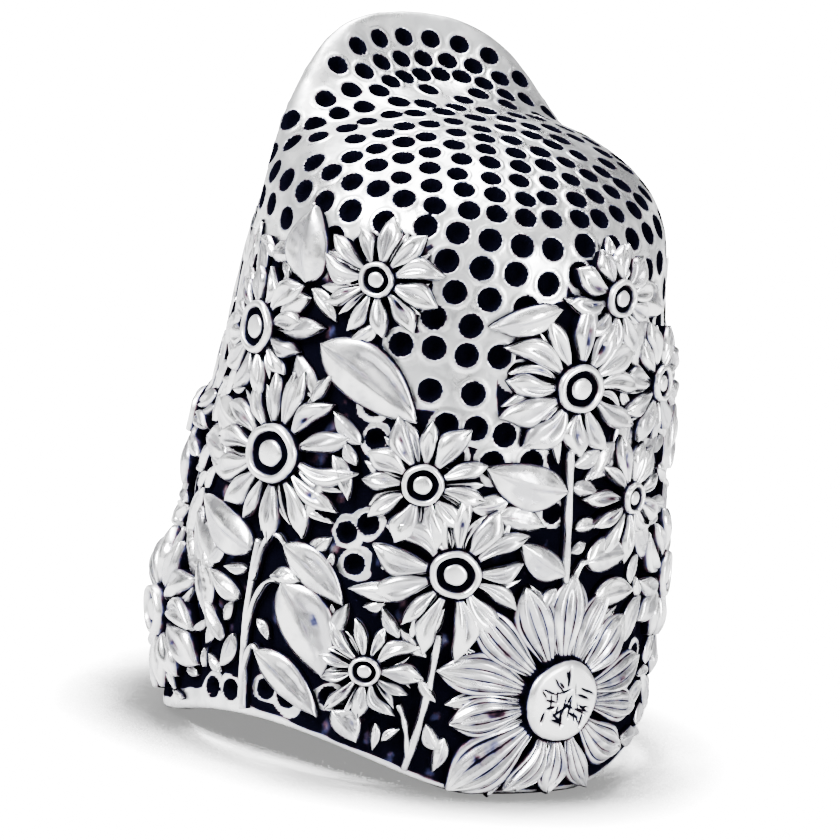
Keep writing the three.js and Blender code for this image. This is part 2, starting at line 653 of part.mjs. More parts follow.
// A stem with a ridged section, along a smooth line through its path.
function stemGeometry(stem) {
  const line = new THREE.CatmullRomCurve3(
    stem.path.map(([turn, height]) => new THREE.Vector3(radians(turn) * MOUTH_RADIUS, height, 0)),
  );
  const points = [];
  for (let step = 0; step <= STEM_STEPS; step += 1) {
    const place = line.getPoint(step / STEM_STEPS);
    const way = line.getTangent(step / STEM_STEPS);
    const turn = THREE.MathUtils.radToDeg(place.x / MOUTH_RADIUS);
    const corners = [[1, SOLDER_GAP], [0.5, STEM_RELIEF], [-0.5, STEM_RELIEF], [-1, SOLDER_GAP]];
    for (const [side, out] of corners) {
      const half = (side * STEM_WIDTH) / 2;
      points.push(wallPoint(turn, place.y, half * way.y, -half * way.x, out));
    }
  }
  const faces = [[0, 1, 2], [0, 2, 3]];
  for (let step = 0; step < STEM_STEPS; step += 1) {
    for (let corner = 0; corner < 4; corner += 1) {
      const here = step * 4 + corner;
      const next = step * 4 + ((corner + 1) % 4);
      faces.push([here, next + 4, next], [here, here + 4, next + 4]);
    }
  }
  const end = STEM_STEPS * 4;
  faces.push([end, end + 2, end + 1], [end, end + 3, end + 2]);
  return geometryFrom(points, faces);
}

function cutBy(geometry, cutters) {
  let solid = solidFrom(geometry);
  for (const cutter of cutters) {
    solid = solid.subtract(cutter);
  }
  return geometryOf(largestPiece(solid));
}

// ---- the whole thimble ---------------------------------------------------------------------
const flowerCutters = FLOWERS.map(flowerCutter);
const leafCutters = LEAVES.map(leafCutter);

const thimble = new THREE.Group();
thimble.name = 'thimble';
thimble.add(shellMesh());
for (const flower of FLOWERS) {
  thimble.add(...flowerMeshes(flower));
}
LEAVES.forEach((leaf, index) => {
  const cutters = [...flowerCutters, ...leafCutters.slice(0, index)];
  thimble.add(meshFrom(leaf.name, cutBy(leafGeometry(leaf), cutters), 'leaf'));
});
for (const stem of STEMS) {
  const cutters = [...flowerCutters, ...leafCutters];
  thimble.add(meshFrom(stem.name, cutBy(stemGeometry(stem), cutters), 'leaf'));
}

export default thimble;
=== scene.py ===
"""A silver thimble: a smooth, dimpled shell with chased flowers, leaves and stems round its wall.

Lengths are in millimetres and are scaled to metres when a mesh is made. +Z runs up the finger, +Y
is the nail side, and a "turn" is an angle in degrees round the wall from the middle of the pad
side. A "height" is a length measured up the shell's outer surface from the mouth plane. "Black" is
how oxidised a point is, together with the shade painted on some points, from 0 for bright metal
to 1 for black.
"""
import math
from types import SimpleNamespace

import bpy
import numpy as np
from mathutils import Matrix, Vector


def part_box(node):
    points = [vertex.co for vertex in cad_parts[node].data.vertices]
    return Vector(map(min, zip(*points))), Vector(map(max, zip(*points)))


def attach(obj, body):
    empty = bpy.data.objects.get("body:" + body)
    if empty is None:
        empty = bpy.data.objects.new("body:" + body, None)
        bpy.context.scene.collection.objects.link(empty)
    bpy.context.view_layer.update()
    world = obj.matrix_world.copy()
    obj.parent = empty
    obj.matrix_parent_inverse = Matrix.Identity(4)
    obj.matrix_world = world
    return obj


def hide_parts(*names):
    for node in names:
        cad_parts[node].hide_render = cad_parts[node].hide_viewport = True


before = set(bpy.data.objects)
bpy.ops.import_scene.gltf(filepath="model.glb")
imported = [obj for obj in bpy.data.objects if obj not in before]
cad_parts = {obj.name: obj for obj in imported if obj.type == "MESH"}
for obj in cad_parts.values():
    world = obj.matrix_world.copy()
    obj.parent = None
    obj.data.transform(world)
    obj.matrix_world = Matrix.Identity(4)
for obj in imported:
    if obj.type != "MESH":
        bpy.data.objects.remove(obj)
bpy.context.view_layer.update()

MM = 0.001
RANDOM = np.random.default_rng(7)
RIPPLE_WAVES = 7  # in an uneven pattern, which is a level, its wander, a wavelength and a seed

# ---- the shell's driving dimensions, the same as the frame's ----
SHELL_LOW, SHELL_HIGH = (np.array(corner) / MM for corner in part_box("shell"))
MOUTH_RADIUS = (SHELL_HIGH[0] - SHELL_LOW[0]) / 2
WALL = 0.9
TAPER_PAD, TAPER_NAIL, TAPER_HEIGHT, TAPER_POWER = 1.78, 2.3, 24.0, 2.0
CROWN_HEIGHT, CROWN_RADIUS, CROWN_THICKNESS = 25.7, 8.0, 1.0
CROWN_TILT, CROWN_DOME, DOME_CURVE = 0.132, 2.1, 2.4
LOBE_RISE, LOBE_CURVE, LOBE_MIDDLE = 6.4, 4.0, 96.0
LOBE_EDGE, LOBE_ROUND, LOBE_FADE = 69.5, 3.0, 2.0
SHOULDER_PAD, SHOULDER_NAIL = 1.8, 0.45
SCALLOP_BETWEEN, SCALLOP_AT, SCALLOP_HALF_WIDTH = -84.0, 66.0, 50.0
SCALLOP_RISE, SCALLOP_CURVE = 1.7, 1.25
OUTSIDE = dict(inset=0.0, drop=0.0, lobe=1.0, shoulder=0.0)
INSIDE = dict(inset=WALL, drop=CROWN_THICKNESS, lobe=0.7, shoulder=0.6)

# ---- the shell's mesh and surface ----
COLUMNS = 760
OUTER_ROWS = 400
INNER_ROWS = 40
SECTION_ROWS = 160  # for each of the wall, the shoulder and the crown, in the map of the surface
MAP_STEP = 0.05  # between two rows of the map
RIM_ROUND = 0.22
WOBBLES = ((0, 0.03, 5.0, 1), (0, 0.012, 1.3, 2))  # uneven patterns of the skin
WOBBLE_FROM, WOBBLE_FADE = 0.3, 0.6  # above the rim
# painted shade: the inside of the shell is painted a little darker
INSIDE_PAINTED_SHADE = 0.12
MIDDLE_RADIUS = MOUTH_RADIUS * 0.97  # of the wall, half-way up

# ---- dimples ----
RINGS = 24
FIRST_RING, CROWN_RINGS = 1.4, 7  # distance of the first ring from the middle; rings on the crown
CROWN_STEP, CROWN_PITCH = 1.05, 1.3  # from ring to ring of dimples on the crown, and along a ring
WALL_STEP, WALL_PITCH = 1.25, 1.42  # the same on the wall
LOBE_CROWDING = 0.12  # how much closer together the rings lie on the lobe
STRAY = 0.07  # how far a dimple strays from its place in the ring
RING_SLIP, RING_SLIP_TURN = 0.07, 2.4  # how far a whole ring is slipped round, and how that varies
CROWN_DIMPLE, WALL_DIMPLE, LOBE_DIMPLE, GAP_DIMPLE = 0.42, 0.46, 0.4, 0.41  # radii
SMALLEST_DIMPLE, LARGEST_DIMPLE = 0.94, 1.06  # shares of those radii
DIMPLE_DEPTH, DIMPLE_LIP = 0.45, 0.03
CLOSEST_DIMPLE = 0.96  # between the middles of two dimples
CREST_LAND, CREST_SHARE = 0.75, 0.25  # plain metal left at the lobe's crest, where the lobe is high
PANELS = ((-42.0, 3.0, 13.2), (40.0, 78.0, 17.6))  # from and to turn, and lowest height
LOWEST_DIMPLE = 20.6  # elsewhere
PANEL_ROWS = (  # rows on the first panel: first turn and height, turn and fall between two, how many
    (-37.4, 22.6, 9.5, 0.1, 5), (-29.8, 21.4, 9.6, 0.2, 4), (-36.0, 20.25, 9.4, 0.14, 3),
    (-31.3, 19.05, 10.0, 0.1, 2), (-38.8, 17.8, 8.6, 0.0, 4), (-29.8, 16.3, 11.0, 0.0, 2),
    (-24.6, 15.0, 7.5, 0.12, 3),
)
LOBE_ROWS = (  # rows on the lobe: way from the crown's middle, first turn, turn between two, how many
    (6.1, 124.0, 13.2, 10), (5.1, 130.6, 13.2, 9), (4.15, 137.2, 13.2, 8),
)
GAP_DIMPLES = (  # turn and height of single dimples in the openings between the flowers
    (-43.6, 15.2), (-41.7, 13.9), (-45.6, 10.0), (-40.5, 10.5), (-42.6, 8.8), (-78.5, 2.3),
    (-72.0, 2.5), (-61.2, 3.0), (-55.2, 2.9), (-44.3, 3.3), (5.4, 11.6), (46.0, 12.6), (43.0, 5.2),
    (117.0, 9.9), (112.5, 15.4), (120.0, 17.6), (120.5, 5.6), (177.0, 13.4), (-176.0, 11.6),
    (-146.0, 15.6), (-141.0, 14.4), (-126.0, 5.4), (-131.0, 3.6), (-107.0, 9.4), (-112.0, 10.8),
)
PIT = SimpleNamespace(
    reach=2.2,  # how far the skin is worked round a dimple, in radii
    facing=0.3,  # least agreement between the way that the skin and the dimple face
    snap=0.7,  # how close a point must be to go on to the pit's edge, in columns
    bowl_power=4,
    lip_at=1.25, lip_width=0.14,  # in radii
    web=(0.3, 0.14, 1.0, 6), web_fade=0.06,  # bright metal left round it: an uneven pattern
)

# ---- where the shell is black ----
GROUND = SimpleNamespace(
    beside_petals=0.3,  # how far the black runs out from under the petals
    behind_top=22.4, behind_fade=0.8,
    low_edge=0.2, low_fade=1.0,  # below the lowest dimples
    wall_painted_shade=0.2, painted_shade_above=0.6, painted_shade_fade=2.0,  # painted shade: the wall below the crown is painted a little duller than the crown
    panel_fade=2.0, panel_edge=(0, 2.5, 2.4, 12),  # in degrees, and an uneven pattern
    web_shine=0.9,
    smear=(0.83, 0.16, 1.2, 5),
    rim=0.14, rim_uneven=(1, 0.25, 1.6, 7), rim_fade=0.16,  # bright metal along the rim
    bare_rim=0.7, bare_at=-84.0, bare_width=20.0,  # how much further up it is bright, and where
)

# ---- ornaments ----
FOOT = -0.06  # how far an ornament's underside is sunk in the wall
PROUD_AT, PROUD_GAIN = (-118.0, 5.5), 0.93  # turn and height where the relief is greatest
PROUD_WIDTH, PROUD_TALLNESS = 26, 3.2  # how far round and up the wall that reaches
FLAT_ABOVE, FLAT_FADE, FLAT_SHARE = 12.6, 1.2, 0.75  # the same side is flattened higher up
FLOWERS = {  # petal length, boss radius, number of petals, and how broad the petals are
    "upper_left_daisy": (2.9, 1.05, 12, 1.0),
    "left_daisy": (3.8, 1.22, 14, 1.0),
    "left_shoulder_daisy": (2.6, 0.7, 11, 1.0),
    "upper_middle_daisy": (2.8, 0.82, 11, 1.1),
    "middle_daisy": (3.4, 0.98, 13, 1.05),
    "upper_right_daisy": (3.4, 1.0, 12, 1.15),
    "right_shoulder_daisy": (2.5, 0.75, 10, 1.2),
    "low_left_daisy": (2.3, 0.6, 11, 0.9),
    "rim_sunflower": (5.5, 1.66, 14, 1.3),
    "right_daisy": (2.6, 0.62, 11, 0.9),
    "right_side_daisy": (2.7, 0.75, 11, 1.0),
    "left_edge_daisy": (3.6, 1.0, 12, 1.1),
    "left_rim_daisy": (3.7, 1.0, 12, 1.1),
    "right_rim_daisy": (3.2, 0.95, 12, 1.0),
    "right_back_daisy": (4.1, 1.1, 13, 1.0),
    "right_low_back_daisy": (4.0, 1.1, 13, 1.1),
    "back_daisy": (4.5, 1.25, 14, 1.0),
    "back_sunflower": (4.9, 1.4, 15, 1.1),
    "left_back_daisy": (4.1, 1.05, 12, 1.1),
    "left_low_back_daisy": (4.5, 1.2, 13, 1.0),
}
LEAVES = {  # turn and height of the foot, direction of the tip, length, width, curl
    "left_shoulder_leaf": (-68, 19.4, 98, 3.0, 2.4, 0.3),
    "broad_upper_leaf": (-59.7, 17.2, -29, 4.9, 2.4, 0.6),
    "middle_leaf": (7.9, 12.5, 167, 3.6, 1.9, 0.3),
    "arched_leaf": (-60.6, 9.0, -33, 3.4, 1.6, 0.6),
    "broad_low_leaf": (-59.7, 7.5, -56, 4.1, 2.4, 0.5),
    "drooping_leaf": (-64.4, 4.5, -33, 3.7, 1.5, 0.4),
    "left_edge_leaf": (-70, 8.4, 160, 3.9, 1.8, 0.3),
    "stem_leaf": (9.4, 9.1, 148, 2.5, 1.3, 0.2),
    "low_bud": (-42.6, 2.9, -46, 1.6, 1.2, 0.1),
    "right_bud": (15.5, 9.6, 4, 2.5, 1.5, 0.1),
    "right_rim_leaf": (58, 4.4, -8, 3.7, 1.9, 0.3),
    "right_back_leaf": (108, 10.6, 22, 3.7, 2.0, 0.3),
    "back_leaf": (170, 9.6, 148, 3.5, 1.9, 0.3),
    "left_back_leaf": (-134, 15.2, 55, 4.1, 2.1, 0.3),
}
LOOSE_LEAVES = (  # small leaves laid one by one among the flowers, as in LEAVES
    (2.4, 19.8, -163, 3.0, 1.2, 0.3), (-63.0, 7.6, 5, 1.4, 0.8, 0.1),
    (-26.1, 8.3, -171, 2.8, 0.9, 0.3), (-44.5, 5.7, 76, 1.6, 0.7, 0.2),
    (-75.3, 4.4, 134, 1.8, 0.8, 0.1), (-71.5, 6.3, 159, 2.0, 0.9, 0.3),
    (-29.4, 6.2, 125, 1.4, 0.6, 0.1), (-22.3, 6.4, 72, 1.3, 0.6, 0.1),
    (7.1, 8.6, -127, 1.5, 0.7, 0.1), (19.4, 8.1, 1, 2.5, 1.2, 0.3),
    (-74.4, 17.9, 37, 1.6, 1.1, 0.1), (-72.0, 17.2, 18, 2.0, 0.9, 0.2),
    (-59.2, 14.8, 63, 1.4, 0.6, 0.1), (-51.2, 13.0, -62, 1.9, 0.8, 0.2),
    (-62.5, 20.3, -24, 1.5, 0.7, 0.1), (-55.9, 10.3, 72, 1.9, 0.8, 0.3),
    (-19.4, 3.8, 130, 1.3, 0.5, 0.1),
)
STEMS = {  # turn and height of the points that a stem bends through
    "left_stem": ((-68.2, 8.9), (-68.4, 5.4), (-65.9, 2.0)),
    "middle_stem": ((-20.6, 6.5), (-21.6, 3.8), (-24.6, 0.9)),
    "right_stem": ((8.1, 14.2), (9.1, 11.4), (9.9, 8.8)),
    "right_back_stem": ((90.0, 12.0), (92.5, 10.0), (94.5, 8.4)),
    "back_stem": ((142.0, 10.6), (147.0, 8.8), (150.5, 7.6)),
}
STALKS = (  # thin stalks that join leaves to the stems, as in STEMS
    ((-68.3, 7.2), (-65.5, 9.1), (-60.4, 9.0)),
    ((-68.2, 5.0), (-65.4, 7.0), (-59.5, 7.5)),
    ((-66.9, 2.4), (-66.6, 4.3), (-63.8, 4.5)),
    ((-27.8, 3.5), (-25.6, 2.7), (-24.2, 1.4)),
    ((11.6, 7.9), (13.0, 9.2), (15.8, 9.6)),
    ((94.0, 9.0), (100.0, 10.4), (108.6, 10.8)),
)
STEM_WIDTH, STALK_WIDTH, STEM_EDGE, STEM_WAVES = 0.36, 0.26, 0.7, 17
STEM_SIDE, STEM_RISE, STEM_UNEVEN = 0.16, 0.3, 0.15  # height of its sides, crown above them, width
FOLIAGE_SIZES = ((2.5, 1500), (1.6, 2200), (1.0, 3000))  # length, and how many places to try
FOLIAGE_LENGTHS, FOLIAGE_WIDTHS = (0.8, 1.25), (0.36, 0.64)  # shares of the size and the length
FOLIAGE_CURLS, FOLIAGE_LIFTS = (0, 0.5), (0.5, 0.8)
FOLIAGE_LOWEST, FOLIAGE_HIGHEST, FOLIAGE_TOP = 0.9, 20.6, 21.2  # of its feet, and of its tips
FOLIAGE_OVER_PETALS = 0.45  # how far a leaf's middle may lie over a flower, and its ends off the rim
FOLIAGE_REACH, DIMPLE_REACH, STEM_REACH, LEAF_REACH = 0.25, 0.75, 0.3, 0.42  # room that each takes

PETAL = SimpleNamespace(
    rows=19, columns=13, fluted_columns=25,
    root=0.34, fullest=1.45, blunt=0.9, tip=0.03,  # outline, as shares of the width and powers
    ragged=0.12, ragged_waves=(6, 9),  # unevenness of the outline
    double_bend=0.7,
    low=0.34, high=0.42,  # relief at the ends, and what is added in the middle
    dome=0.42, dome_power=4,
    cup=0.24, cup_width=0.42, groove=0.1, groove_width=0.14, flutes=4, flute=0.2,
    groove_span=(0, 0.2, 0.8, 0.3), flute_span=(0, 0.15, 1, 0.2), line_span=(0, 0.1, 0.9, 0.2),
    notch_width=0.3, notch_power=5,
    root_black=0.13, root_fade=0.08, groove_black=0.4, flute_black=0.8, flute_power=5,
    edge=0.8, edge_black=0.66,
    stained=0.3, deep_stains_and_painted_shade=(2.0, 3.0), light_stains_and_painted_shade=(0.3, 1.5),  # share that is deeply stained; the darkening lies in each petal's cup and is partly painted shade
    stain=(0.85, 0.4, 0.6, 8),
)
ROSETTE = SimpleNamespace(
    under_boss=0.1, behind_missing=0.35, behind_width=0.5, front_width=0.92, behind_lift=0.62,
    behind_length=0.94, filling=0.62, turn_stray=0.07, bend_stray=0.19, crease_stray=0.4,
    notched=0.3, shortest=0.5, rim_gap=0.12, least_down=0.05,
    lengths=(0.8, 1.05), widths=(0.68, 1.12), notches=(0.1, 0.24), lifts=(0.9, 1.04),
)
BOSS_SIDES, DISC_SIDES = 72, 160
BOSS_PROFILE = (  # share of the radius, height and black, from the foot to the middle
    (0.98, FOOT, 1), (1.0, 0.4, 1), (1.0, 0.6, 0.6), (0.97, 0.72, 0.05), (0.93, 0.78, 0),
    (0.87, 0.8, 0), (0.8, 0.8, 0), (0.76, 0.77, 0), (0.735, 0.7, 0.4), (0.71, 0.5, 1),
    (0.64, 0.42, 1), (0.51, 0.42, 1), (0.465, 0.55, 1), (0.44, 0.66, 0.4), (0.4, 0.71, 0.05),
    (0.32, 0.73, 0), (0.2, 0.74, 0), (0.08, 0.745, 0),
)
BOSS_TOP = 0.745
DISC_EDGE = (  # the same for a sunflower's disc, up to where its low dome begins
    (1.0, FOOT, 1), (1.0, 0.45, 1), (0.99, 0.62, 0.5), (0.95, 0.74, 0), (0.9, 0.78, 0),
)
DISC_RINGS, DISC_DOME_FOOT, DISC_DOME_RISE = 30, 0.79, 0.1
DISC_DOME = (0.86, 0.05)  # shares of the radius, from the dome's edge to its innermost ring
SEED_MARKS, SEEDS_REACH, SEED_DEPTH, SEED_LEAN = 36, 0.7, 0.09, 0.7
SEED_LENGTHS, SEED_WIDTHS = (0.1, 0.24), (0.018, 0.04)
BOSS_UNEVEN = (0.025, 0.015)  # how far out of round a boss is, in two and in five waves

LEAF = SimpleNamespace(
    rows=29, columns=15,
    fullest=0.8, blunt=0.75, tip=0.02, bow=0.12,  # outline
    low=0.34, high=0.3, dome=0.55, dome_power=2.2, curl=0.3,
    rib=0.05, rib_width=0.11, rib_end=0.92, rib_fade=0.2, rib_black=0.42,
    fold=0.1, fold_at=0.5, fold_width=0.1, fold_span=(0.25, 0.2, 0.97, 0.15), fold_black=0.62,
    least_curl=0.4, full_curl=0.6,
    vein=0.02, veins=6.5, vein_slant=1.3, vein_width=0.35, vein_span=(0.1, 0.1, 0.85, 0.2),
    vein_black=0.12,
    hollow=0.24, hollow_at=0.35, hollow_width=0.3,
    # the leaf's hollow is darkened, partly by a stain and partly as painted shade
    edge=0.84, edge_black=0.7, hollow_stains_and_painted_shade=(0.1, 0.5), stain=(0.8, 0.5, 0.8, 9),
)

# ---- metals ----
SILVERS = {  # colour, dull colour, roughness, reach of the oxide in corners, and depth of the grain
    "oxidised_silver": ((0.93, 0.935, 0.94), (0.5, 0.51, 0.52), 0.26, 0.5, 0.25),
    "bright_silver": ((0.95, 0.95, 0.955), (0.42, 0.42, 0.44), 0.2, 0.6, 0.16),
    "polished_silver": ((0.96, 0.96, 0.96), (0.66, 0.66, 0.67), 0.26, 0.5, 0.1),
}
NAVY_OXIDE, BROWN_OXIDE = (0.05, 0.055, 0.15, 1), (0.11, 0.05, 0.075, 1)
BLACK_OXIDE = (0.0008, 0.0008, 0.0022, 1)
FLECK, PATCH, STAIN, GRAIN = (0.9, 5), (1.6, 3), (0.5, 1), (0.33, 6)  # size and detail of each noise
FLECK_EDGES, PATCH_EDGES, STAIN_EDGES = (0.38, 0.72), (0.43, 0.62), (0.45, 0.6)  # noise for each
FLECK_BLACK, PATCH_DULL = (-0.1, 0.16), (0, 0.9)  # black that flecks add, dullness of the patches
GRAIN_DEPTH = 0.05
OXIDE_OPENNESS = (0.66, 0.26)  # openness where oxide begins, and where it is full
TARNISH_AND_PAINTED_SHADE_BLACK, STAIN_BLACK, OXIDE_BLACK = (0.03, 0.3), (0.3, 0.62), (0.44, 0.7)  # black for the same; the tarnish span also dulls the metal where shade is painted on
ROUGH_BLACK, OXIDE_ROUGHNESS, WORN_ROUGHNESS = (0.3, 0.9), 0.45, 1.5

# ---- camera, light and floor ----
AIM = Vector((0, 0, 13.5)) * MM
CAMERA_AWAY = 300 * MM
CAMERA_AZIMUTH, CAMERA_ELEVATION, CAMERA_ROLL = -27.0, 12.0, 7.2
CAMERA_LENS = 315
AIM_RIGHT, AIM_UP = 0.74 * MM, 0.41 * MM  # where the aim lies from the middle of the view
LIGHTS = {  # metres back, up and to the right of the aim, as the camera stands; size; power
    "key": ((0.16, 0.2, -0.14), (0.12, 0.12), 4.5),
    "fill": ((0.2, 0.04, 0.22), (0.05, 0.2), 1.6),
}
TOP_LIGHT = ((0.02, 0.1, 0.28), (0.2, 0.2), 3)  # place from the aim along the thimble's own axes
ROOM_LIGHT, BACKDROP_LIGHT = 2.0, 30
ROOM_PATCHES, ROOM_EDGES, ROOM_DARK = 2.6, (0.42, 0.56), (0.03, 0.03, 0.035, 1)
WHITE, BLACK = (1, 1, 1, 1), (0, 0, 0, 1)
FLOOR_HALF, FLOOR_DROP, FLOOR_COLOUR, FLOOR_ROUGHNESS = 1.5, 0.02, (0.6, 0.6, 0.6, 1), 0.8
FLOOR_GLOW, FLOOR_PAINTED_SHADOW = 30, 0.35  # brightness of the floor's light seen in the open, and of the shadow painted into it close to the shell
# the floor's painted shadow: how far it reaches from the shell, the openness where it is darkest, and
# how steeply it fades
PAINTED_SHADOW_REACH, PAINTED_SHADOW_DEEPEST, PAINTED_SHADOW_FALL = 6.0, 0.56, 3
HOLLOW_REACH, HOLLOW_EDGE = 30.0, (0.25, 0.4)  # tells the floor under the shell, where the painted shadow is darkest, from that outside


# ---- curves ----
def smooth(share):
    share = np.clip(share, 0, 1)
    return share * share * (3 - 2 * share)


def fade_in(value, over, start=0.0):
    """Rises from 0 at `start` to 1 after `over`."""
    return smooth((value - start) / over)


def fade_out(value, end, over):
    """Falls from 1 to 0 at `end`, over the length before it."""
    return smooth((end - value) / over)


def window(value, start, rise, end, fall):
    """Rises from 0 at `start` over `rise`, and falls back to 0 at `end` over `fall`."""
    return fade_in(value, rise, start) * fade_out(value, end, fall)


def toward_edge(b, inner):
    """Rises from 0 at `inner` to 1 at the edges of a strip, where b is -1 and 1."""
    return fade_in(np.abs(b), 1 - inner, inner)


def swell(a, low, high):
    """The height of an ornament along its length, which is fullest in the middle."""
    return low + high * np.sin(np.pi * (0.1 + 0.8 * a))


def bell(value, width):
    return np.exp(-((value / width) ** 2))


def apart(a, b):
    return np.abs((a - b + 180) % 360 - 180)


def as_turn(theta):
    """The turn, from -180 to 180, of an angle in radians."""
    return (np.degrees(theta) + 90 + 180) % 360 - 180


def as_theta(turn):
    return math.radians(turn - 90)


def ripple(points, wavelength, seed):
    """A smooth, irregular value from about -1 to 1, made of waves in fixed directions."""
    chance = np.random.default_rng(seed)
    total = np.zeros(points.shape[:-1])
    for _ in range(RIPPLE_WAVES):
        direction = chance.normal(size=3)
        direction /= np.linalg.norm(direction)
        length = wavelength * chance.uniform(0.7, 1.4)
        total += np.sin(points @ direction * (2 * np.pi / length) + chance.uniform(0, 6.3))
    return total * 2 / RIPPLE_WAVES


def uneven(points, level, depth, wavelength, seed):
    """A value that wanders about a level, by about `depth`."""
    return level + depth * ripple(points, wavelength, seed)


# ---- the thimble's surface ----
def lobe_share(theta):
    away = apart(np.degrees(theta), LOBE_MIDDLE)
    return (1 - np.minimum(away / LOBE_EDGE, 1) ** LOBE_ROUND) ** LOBE_FADE


def rim_height(theta):
    away = apart(np.degrees(theta), SCALLOP_BETWEEN)
    share = np.clip(np.abs(away - SCALLOP_AT) / SCALLOP_HALF_WIDTH, 0, 1)
    return SCALLOP_RISE * np.abs(np.cos(np.pi / 2 * share)) ** SCALLOP_CURVE


def wall_radius(z, nail, skin):
    taper = TAPER_PAD + (TAPER_NAIL - TAPER_PAD) * nail
    return MOUTH_RADIUS - skin["inset"] - taper * (np.maximum(z, 0) / TAPER_HEIGHT) ** TAPER_POWER


def crown_height(radius, theta, nail, skin):
    share = radius / CROWN_RADIUS
    tilt = CROWN_TILT * radius * np.sin(theta)
    lobe = LOBE_RISE * skin["lobe"] * nail * share ** LOBE_CURVE
    dome = CROWN_DOME * (1 - nail) * np.abs(share) ** DOME_CURVE
    return CROWN_HEIGHT - skin["drop"] + tilt + lobe - dome


def section(theta, skin, rows, rim):
    """Radius and z from the rim to the crown's middle, one row of each for every angle."""
    theta = theta[:, None]
    nail = lobe_share(theta)
    reach = SHOULDER_PAD + (SHOULDER_NAIL - SHOULDER_PAD) * nail + skin["shoulder"]
    radius = np.full_like(theta, MOUTH_RADIUS)
    for _ in range(25):  # closes in on where the wall meets the crown
        height = crown_height(radius, theta, nail, skin)
        radius = wall_radius(height, nail, skin)
    step = 1e-4
    low_z = height - reach
    low_r = wall_radius(low_z, nail, skin)
    lean = (wall_radius(low_z + step, nail, skin) - low_r) / step
    high_r = radius - reach
    high_z = crown_height(high_r, theta, nail, skin)
    slope = (crown_height(high_r + step, theta, nail, skin) - high_z) / step
    corner_z = (high_z + slope * (low_r - lean * low_z - high_r)) / (1 - slope * lean)
    corner_r = low_r + lean * (corner_z - low_z)
    up = np.linspace(0, 1, rows, endpoint=False)[None]
    wall_z = rim[:, None] + (low_z - rim[:, None]) * up
    wall_r = wall_radius(wall_z, nail, skin)
    turn_r = (1 - up) ** 2 * low_r + 2 * up * (1 - up) * corner_r + up ** 2 * high_r
    turn_z = (1 - up) ** 2 * low_z + 2 * up * (1 - up) * corner_z + up ** 2 * high_z
    top_r = high_r * np.linspace(1, 0, rows)[None]
    top_z = crown_height(top_r, theta, nail, skin)
    return np.hstack([wall_r, turn_r, top_r]), np.hstack([wall_z, turn_z, top_z])


def along_surface(radius, z):
    """Length along each section from its first point."""
    steps = np.hypot(np.diff(radius, axis=1), np.diff(z, axis=1))
    return np.hstack([np.zeros((len(radius), 1)), np.cumsum(steps, axis=1)])


def round_axis(radius, z, theta):
    """Points from radii and heights, one row of them for each angle."""
    theta = theta[:, None]
    return np.stack([radius * np.cos(theta), radius * np.sin(theta), z], axis=-1)


def map_surface(radius, z, length):
    """The outer surface's points and normals: a column per angle and a row every MAP_STEP."""
    heights = np.arange(0, length[:, -1].max() + MAP_STEP, MAP_STEP)
    radii = np.array([np.interp(heights, s, r) for s, r in zip(length, radius)])
    zs = np.array([np.interp(heights, s, up) for s, up in zip(length, z)])
    points = round_axis(radii, zs, MAP_ANGLES)
    across = np.roll(points, -1, axis=0) - np.roll(points, 1, axis=0)
    normals = np.cross(across, np.gradient(points, axis=1))
    size = np.linalg.norm(normals, axis=-1, keepdims=True)
    least = 1e-7
    upright = [0.0, 0.0, 1.0]
    return points, np.where(size > least, normals / np.maximum(size, least), upright)


MAP_ANGLES = np.arange(COLUMNS) * 2 * np.pi / COLUMNS
SECTION_RADIUS, SECTION_Z = section(MAP_ANGLES, OUTSIDE, SECTION_ROWS, np.zeros(COLUMNS))
SECTION_LENGTH = along_surface(SECTION_RADIUS, SECTION_Z)
WHOLE_HEIGHT = SECTION_LENGTH[:, -1]
MAP, MAP_NORMALS = map_surface(SECTION_RADIUS, SECTION_Z, SECTION_LENGTH)


def from_map(table, theta, height):
    """Reads a map between its columns and rows."""
    column = (theta / (2 * np.pi) * COLUMNS) % COLUMNS
    row = np.clip(height / MAP_STEP, 0, table.shape[1] - 1.001)
    c0, r0 = np.floor(column).astype(int) % COLUMNS, np.floor(row).astype(int)
    c1, cf, rf = (c0 + 1) % COLUMNS, (column % 1)[..., None], (row % 1)[..., None]
    low = table[c0, r0] * (1 - cf) + table[c1, r0] * cf
    high = table[c0, r0 + 1] * (1 - cf) + table[c1, r0 + 1] * cf
    return low * (1 - rf) + high * rf


def surface_at(theta, height):
    """The point and the normal of the outer surface at one place."""
    theta, height = np.array(theta), np.array(height)
    return from_map(MAP, theta, height), from_map(MAP_NORMALS, theta, height)


def whole_height(theta):
    """The height of the crown's middle, measured up the surface at one angle."""
    return float(np.interp(theta % (2 * np.pi), MAP_ANGLES, WHOLE_HEIGHT, period=2 * np.pi))


def relief_gain(turn, height):
    """The ornaments stand proudest low on the left, and lie flat above them."""
    aside = bell(apart(turn, PROUD_AT[0]), PROUD_WIDTH)
    low = bell(height - PROUD_AT[1], PROUD_TALLNESS)
    return 1 + aside * (PROUD_GAIN * low - FLAT_SHARE * fade_in(height, FLAT_FADE, FLAT_ABOVE))


def wall_points(turn, height, across, along, out):
    """Points beside (turn, height): across and along on the surface, and out from it."""
    middle = as_theta(turn)
    place = surface_at(middle, height)[0]
    theta = middle + across / math.hypot(place[0], place[1])
    up = height + along
    normal = from_map(MAP_NORMALS, theta, up)
    out = out * relief_gain(np.degrees(theta) + 90, up)
    return from_map(MAP, theta, up) + normal * out[..., None]


def wall_point(turn, height, out):
    """The one point that stands `out` from the surface at (turn, height)."""
    return wall_points(turn, height, np.zeros(1), np.zeros(1), np.array([out]))[0]


